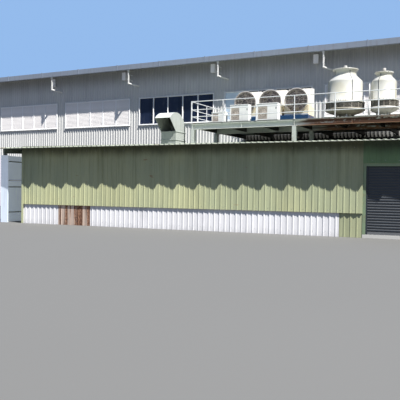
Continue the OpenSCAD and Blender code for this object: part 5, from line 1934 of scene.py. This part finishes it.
class FACTORY_OT_towers(Operator):
    """Build the cooling towers: shells, basins, inlet bands, fans, seams, pipes and water"""

    bl_idname = "factory.towers"
    bl_label = "Cooling towers"

    metal = 0.014  # thickness of the mouldings

    def dress(self, context):
        size = sizes()
        shell = shared("tower_shell", self.shell)
        basin = shared("tower_basin", self.basin)
        steel = shared("tower_fan_metal", steel_finish, linear(0.66, 0.66, 0.64), rust_share=0.2)
        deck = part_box("platform_deck")[1].z
        shells, basins, bands, fans = Shape(), Shape(), Shape(), Shape()
        for k, (low, high) in enumerate(solids_of("tower_shells")):
            radius = (high.x - low.x) / 2
            centre = Vector(((low.x + high.x) / 2, (low.y + high.y) / 2, 0))
            foot, top = deck + size.tower_foot, deck + size.tower_tops[k]
            line = self.outline(radius, foot, deck + size.tower_shoulders[k], top)
            out = radius + size.basin_out
            edge = [(out, foot), (out, foot + 0.02), (radius, foot + 0.035)]
            inner = [(r - self.metal, z) for r, z in reversed(line)]
            shells.turned(edge + line[1:] + inner, centre, 64)
            self.bowl(basins, centre, radius, deck)
            self.band(bands, centre, radius, deck)
            self.fan(fans, centre, line[-1][0], top)
            self.seams(k, centre, line)
            self.pipe(k, centre, line)
            self.water(k, centre, radius, deck)
        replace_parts(shells.piece("tower_shell_mouldings", "cream", shell), "tower_shells")
        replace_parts(basins.piece("tower_basin_mouldings", "cream", basin), "tower_basins")
        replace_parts(fans.piece("tower_top_fans", "dark_metal", steel), "tower_fans")
        bands.piece("tower_inlet_louvres", "dark_metal", shared("inlet_louvres", self.louvres))
        self.standpipe(deck)

    def shell(self, name):
        """Moulded shell: gloss gone chalky, yellowed patches, streaks from the rim."""
        paint = Finish(name)
        cloud = paint.noise(1.4, 4)
        streak = paint.noise(1, 4, (7, 7, 0.5))
        fine = paint.noise(20, 3)
        run = paint.between(streak, 0.52, 0.74)
        body = paint.mix(paint.between(cloud, 0.40, 0.62), colours().shell[:], linear(0.77, 0.76, 0.70))
        body = paint.shade(body, 1.0 + fine.swing(0.05))
        body = paint.mix(run * 0.16, body, linear(0.62, 0.60, 0.52))
        return paint.done(
            body, 0.32 + run * 0.2 + cloud.swing(0.2), paint.bump(cloud, 0.012, 0.3),
            {"Coat Weight": 0.25, "Coat Roughness": 0.25},
        )

    def basin(self, name):
        """Weathered moulding, olive with algae on the first tower and paler on the second."""
        paint = Finish(name)
        cloud = paint.noise(2.2, 4)
        streak = paint.noise(1, 4, (8, 8, 1), (1, 4, 2))
        second = solids_of("tower_shells")[1][0].x
        tint = paint.mix(
            paint.between(paint.x, second - 0.15, second - 0.05), linear(0.62, 0.60, 0.54),
            linear(0.80, 0.79, 0.76),
        )
        body = paint.shade(tint, 1.0 + cloud.swing(0.3))
        body = paint.mix(paint.between(streak, 0.5, 0.7) * 0.4, body, linear(0.40, 0.39, 0.30))
        return paint.done(body, 0.5 + cloud.swing(0.3), paint.bump(cloud, 0.006, 0.3))

    def louvres(self, name):
        """Brown-grey slats with lime spots."""
        paint = Finish(name)
        cloud = paint.noise(3, 4)
        spots = paint.between(paint.noise(13, 4, (1, 1, 1.6), (6, 2, 1)), 0.52, 0.66)
        body = paint.shade(linear(0.56, 0.54, 0.50), 1.0 + cloud.swing(0.8))
        body = paint.mix(spots * 0.75, body, linear(0.86, 0.85, 0.80))
        return paint.done(body, 0.6 + spots * 0.2, paint.bump(spots, 0.002, 0.4))

    def outline(self, radius, foot, shoulder, top):
        """Outer line of a shell: upright body, straight cone, neck and flared rim."""
        neck, rise = radius * sizes().tower_neck, top - shoulder
        rim = neck + radius * 0.115
        return [
            (radius, foot), (radius, shoulder - 0.05), (radius - 0.008, shoulder - 0.02),
            (radius - 0.030, shoulder + 0.010), (neck + 0.030, shoulder + rise * 0.44),
            (neck + 0.008, shoulder + rise * 0.48), (neck, shoulder + rise * 0.54), (neck, top - 0.075),
            (rim, top - 0.035), (rim, top),
        ]

    def bowl(self, shape, centre, radius, deck):
        """Basin on four legs."""
        rim, bottom, metal = deck + sizes().tower_rim, deck + 0.28, self.metal
        deep, out = rim - bottom, radius + sizes().basin_out
        shape.turned([
            (0.0, bottom), (radius * 0.55, bottom), (radius * 0.92, bottom + deep * 0.35), (out, rim - 0.06),
            (out, rim),
            (out - metal, rim), (out - metal, rim - 0.06 + metal / 2),
            (radius * 0.92 - metal, bottom + deep * 0.35 + metal), (radius * 0.55, bottom + metal),
            (0.0, bottom + metal),
        ], centre, 64, closed=False)
        for k in range(4):
            place = Matrix.Translation(centre) @ Matrix.Rotation(math.radians(45 + 90 * k), 4, "Z")
            leg = radius * 0.5
            shape.box((leg, -0.04, deck + 0.0005), (leg + 0.08, 0.04, bottom + 0.004), place)

    def band(self, shape, centre, radius, deck):
        """Sloping slats round the inlet, carried by posts, in front of the packing."""
        size = sizes()
        low, high = deck + size.tower_rim - 0.05, deck + size.tower_foot
        out = radius + size.basin_out - self.metal - 0.006
        for k in range(16):
            place = Matrix.Translation(centre) @ Matrix.Rotation(2 * math.pi * (k + 0.5) / 16, 4, "Z")
            shape.box((out - 0.030, -0.012, low), (out - 0.002, 0.012, high + 0.004), place)
        slats = 6
        step = (high - low - 0.05) / slats
        for k in range(slats):
            z = low + 0.05 + k * step
            shape.turned([
                (out - 0.004, z), (out - 0.040, z + step * 0.8), (out - 0.044, z + step * 0.8),
                (out - 0.008, z),
            ], centre, 48)
        core = out - 0.09
        packing = [(0.0, low), (core, low), (core, high + 0.1), (0.0, high + 0.1)]
        shape.turned(packing, centre, 48, closed=False)

    def fan(self, shape, centre, rim, top):
        """Motor on crossed arms over the rim, its fan hung in the neck."""
        for k in range(4):
            place = Matrix.Translation(centre) @ Matrix.Rotation(math.radians(35 + 90 * k), 4, "Z")
            shape.box((0.03, -0.018, top - 0.002), (rim + 0.004, 0.018, top + 0.022), place)
            hung = place @ Matrix.Translation((0.05, 0, top - 0.11))
            tilt = hung @ Matrix.Rotation(math.radians(24), 4, "X")
            shape.box((0, -0.055, -0.003), (rim * 0.72, 0.055, 0.003), tilt)
        shape.column(centre, (top - 0.03, top + 0.185, 0.085, 24, 0.070), (top - 0.15, top - 0.03, 0.05, 20))

    def seams(self, k, centre, line):
        """Upright joints between the shell's four segments, each a dark gap between two lips."""
        first = math.radians((-52.7, -104.1)[k])
        lips, gaps = Shape(), Shape()
        for turn in range(4):
            place = Matrix.Translation(centre) @ Matrix.Rotation(first + turn * math.pi / 2, 4, "Z")
            for (r0, z0), (r1, z1) in zip(line[:-2], line[1:-2]):
                for shape, half, rise in ((lips, 0.024, 0.007), (gaps, 0.015, 0.010)):
                    outline = [(r0 - 0.003, z0), (r0 + rise, z0), (r1 + rise, z1), (r1 - 0.003, z1)]
                    shape.prism(outline, -half, half, "Y", place)
        lips.piece("tower_%d_seam_lips" % (k + 1), "cream", bpy.data.materials["tower_shell"])
        gaps.piece("tower_%d_seam_gaps" % (k + 1), "dark_metal", dark_metal())
        radius, foot = line[0]
        bolts = ring(bolt((1, 0, 0), 0.009), 24, radius, first + 0.13, (0, 0, 0), centre + UP * (foot + 0.07))
        repeated("tower_%d_bolts" % (k + 1), zinc(), [bolts])

    def pipe(self, k, centre, line):
        """A thin pipe up the shell's left side, and a hoop beside its neck."""
        place = Matrix.Translation(centre) @ Matrix.Rotation(math.radians((194, 190)[k]), 4, "Z")
        body, foot = line[0]
        shoulder, top = line[1][1], line[-1][1]
        neck, rim = line[7][0], line[-1][0]
        shape = Shape()
        out, within = body + 0.02, body - 0.02
        shape.tube(place @ Vector((out, 0, foot - 0.02)), place @ Vector((out, 0, shoulder)), 0.013, 10)
        for z in (foot + 0.10, shoulder - 0.06):
            shape.tube(place @ Vector((within, 0, z)), place @ Vector((out, 0, z)), 0.010, 8)
        hoop = (
            (neck + 0.01, 0, top - 0.24), (rim + 0.02, 0, top - 0.20), (rim + 0.03, 0, top - 0.10),
            (rim - 0.01, 0, top - 0.02),
        )
        shape.pipe([place @ Vector(p) for p in hoop], 0.010, 8)
        shape.piece("tower_%d_pipe" % (k + 1), "white_metal", trim_paint())

    def standpipe(self, deck):
        """White feed pipe between the towers, thick to the middle rail and thin above, and a drain valve."""
        first, second = (
            Vector(((low.x + high.x) / 2, (low.y + high.y) / 2, 0)) for low, high in solids_of("tower_shells")
        )
        foot = Vector((second.x - 0.40, first.y - 0.96, deck))
        shape = Shape()
        middle, top = 0.74, 1.40
        shape.column(
            foot, (0, 0.012, 0.11, 24), (0.012, 0.68, 0.055, 20), (0.68, middle, 0.055, 20, 0.028),
            (middle, top, 0.026, 16),
        )
        shape.ball(foot + UP * top, 0.030, 12)
        drain = Vector((first.x + 0.18, first.y - 0.42, deck))
        shape.column(drain, (0.001, 0.285, 0.035, 16))
        valve = drain + UP * 0.14
        for start, end, radius, sides in (
            ((-0.10, 0, 0), (0.10, 0, 0), 0.040, 16), ((0, -0.09, 0), (0, 0, 0), 0.018, 12),
            ((0, -0.10, 0), (0, -0.09, 0), 0.045, 16),
        ):
            shape.tube(valve + Vector(start), valve + Vector(end), radius, sides)
        shape.piece("tower_pipes", "white_metal", pipe_plastic())

    def water(self, k, centre, radius, deck):
        """Still water in the basin."""
        reach = radius + sizes().basin_out - self.metal - 0.03
        level = deck + sizes().tower_rim - 0.055
        below = level - 0.004
        shape = Shape()
        shape.turned([(0.0, level), (reach, level), (reach, below), (0.0, below)], centre, 48, closed=False)
        shape.piece("tower_%d_water" % (k + 1), "glass", shared("basin_water", self.ripples))

    def ripples(self, name):
        """Dark water, almost still."""
        paint = Finish(name)
        ripple = paint.noise(9, 2)
        body = paint.shade(linear(0.20, 0.27, 0.25), 0.9 + ripple * 0.2)
        return paint.done(body, 0.05, paint.bump(ripple, 0.004, 0.2))


OPERATORS = (
    FACTORY_OT_stage, FACTORY_OT_floors, FACTORY_OT_frames, FACTORY_OT_hall_walls, FACTORY_OT_hall_roof,
    FACTORY_OT_gutters, FACTORY_OT_windows, FACTORY_OT_annex_walls, FACTORY_OT_annex_roof, FACTORY_OT_shutter,
    FACTORY_OT_recess, FACTORY_OT_duct, FACTORY_OT_platform, FACTORY_OT_rails, FACTORY_OT_outdoor_units,
    FACTORY_OT_fans, FACTORY_OT_towers,
)


class FACTORY_PT_panel(bpy.types.Panel):
    """Lists the groups in the 3D view's sidebar"""

    bl_idname = "FACTORY_PT_panel"
    bl_label = "Factory building"
    bl_space_type = "VIEW_3D"
    bl_region_type = "UI"
    bl_category = "Factory"

    def draw(self, context):
        for operator in OPERATORS:
            self.layout.operator(operator.bl_idname)


CLASSES = (FactoryColours, FactorySizes, FactoryView, *OPERATORS, FACTORY_PT_panel)


def register():
    for entry in CLASSES:
        bpy.utils.register_class(entry)
    bpy.types.Scene.factory_colours = PointerProperty(type=FactoryColours)
    bpy.types.Scene.factory_sizes = PointerProperty(type=FactorySizes)
    bpy.types.Scene.factory_view = PointerProperty(type=FactoryView)


def unregister():
    for name in ("factory_colours", "factory_sizes", "factory_view"):
        delattr(bpy.types.Scene, name)
    for entry in reversed(CLASSES):
        bpy.utils.unregister_class(entry)


def main():
    register()
    for operator in OPERATORS:
        group, name = operator.bl_idname.split(".")
        getattr(getattr(bpy.ops, group), name)()


if __name__ == "__main__":
    main()
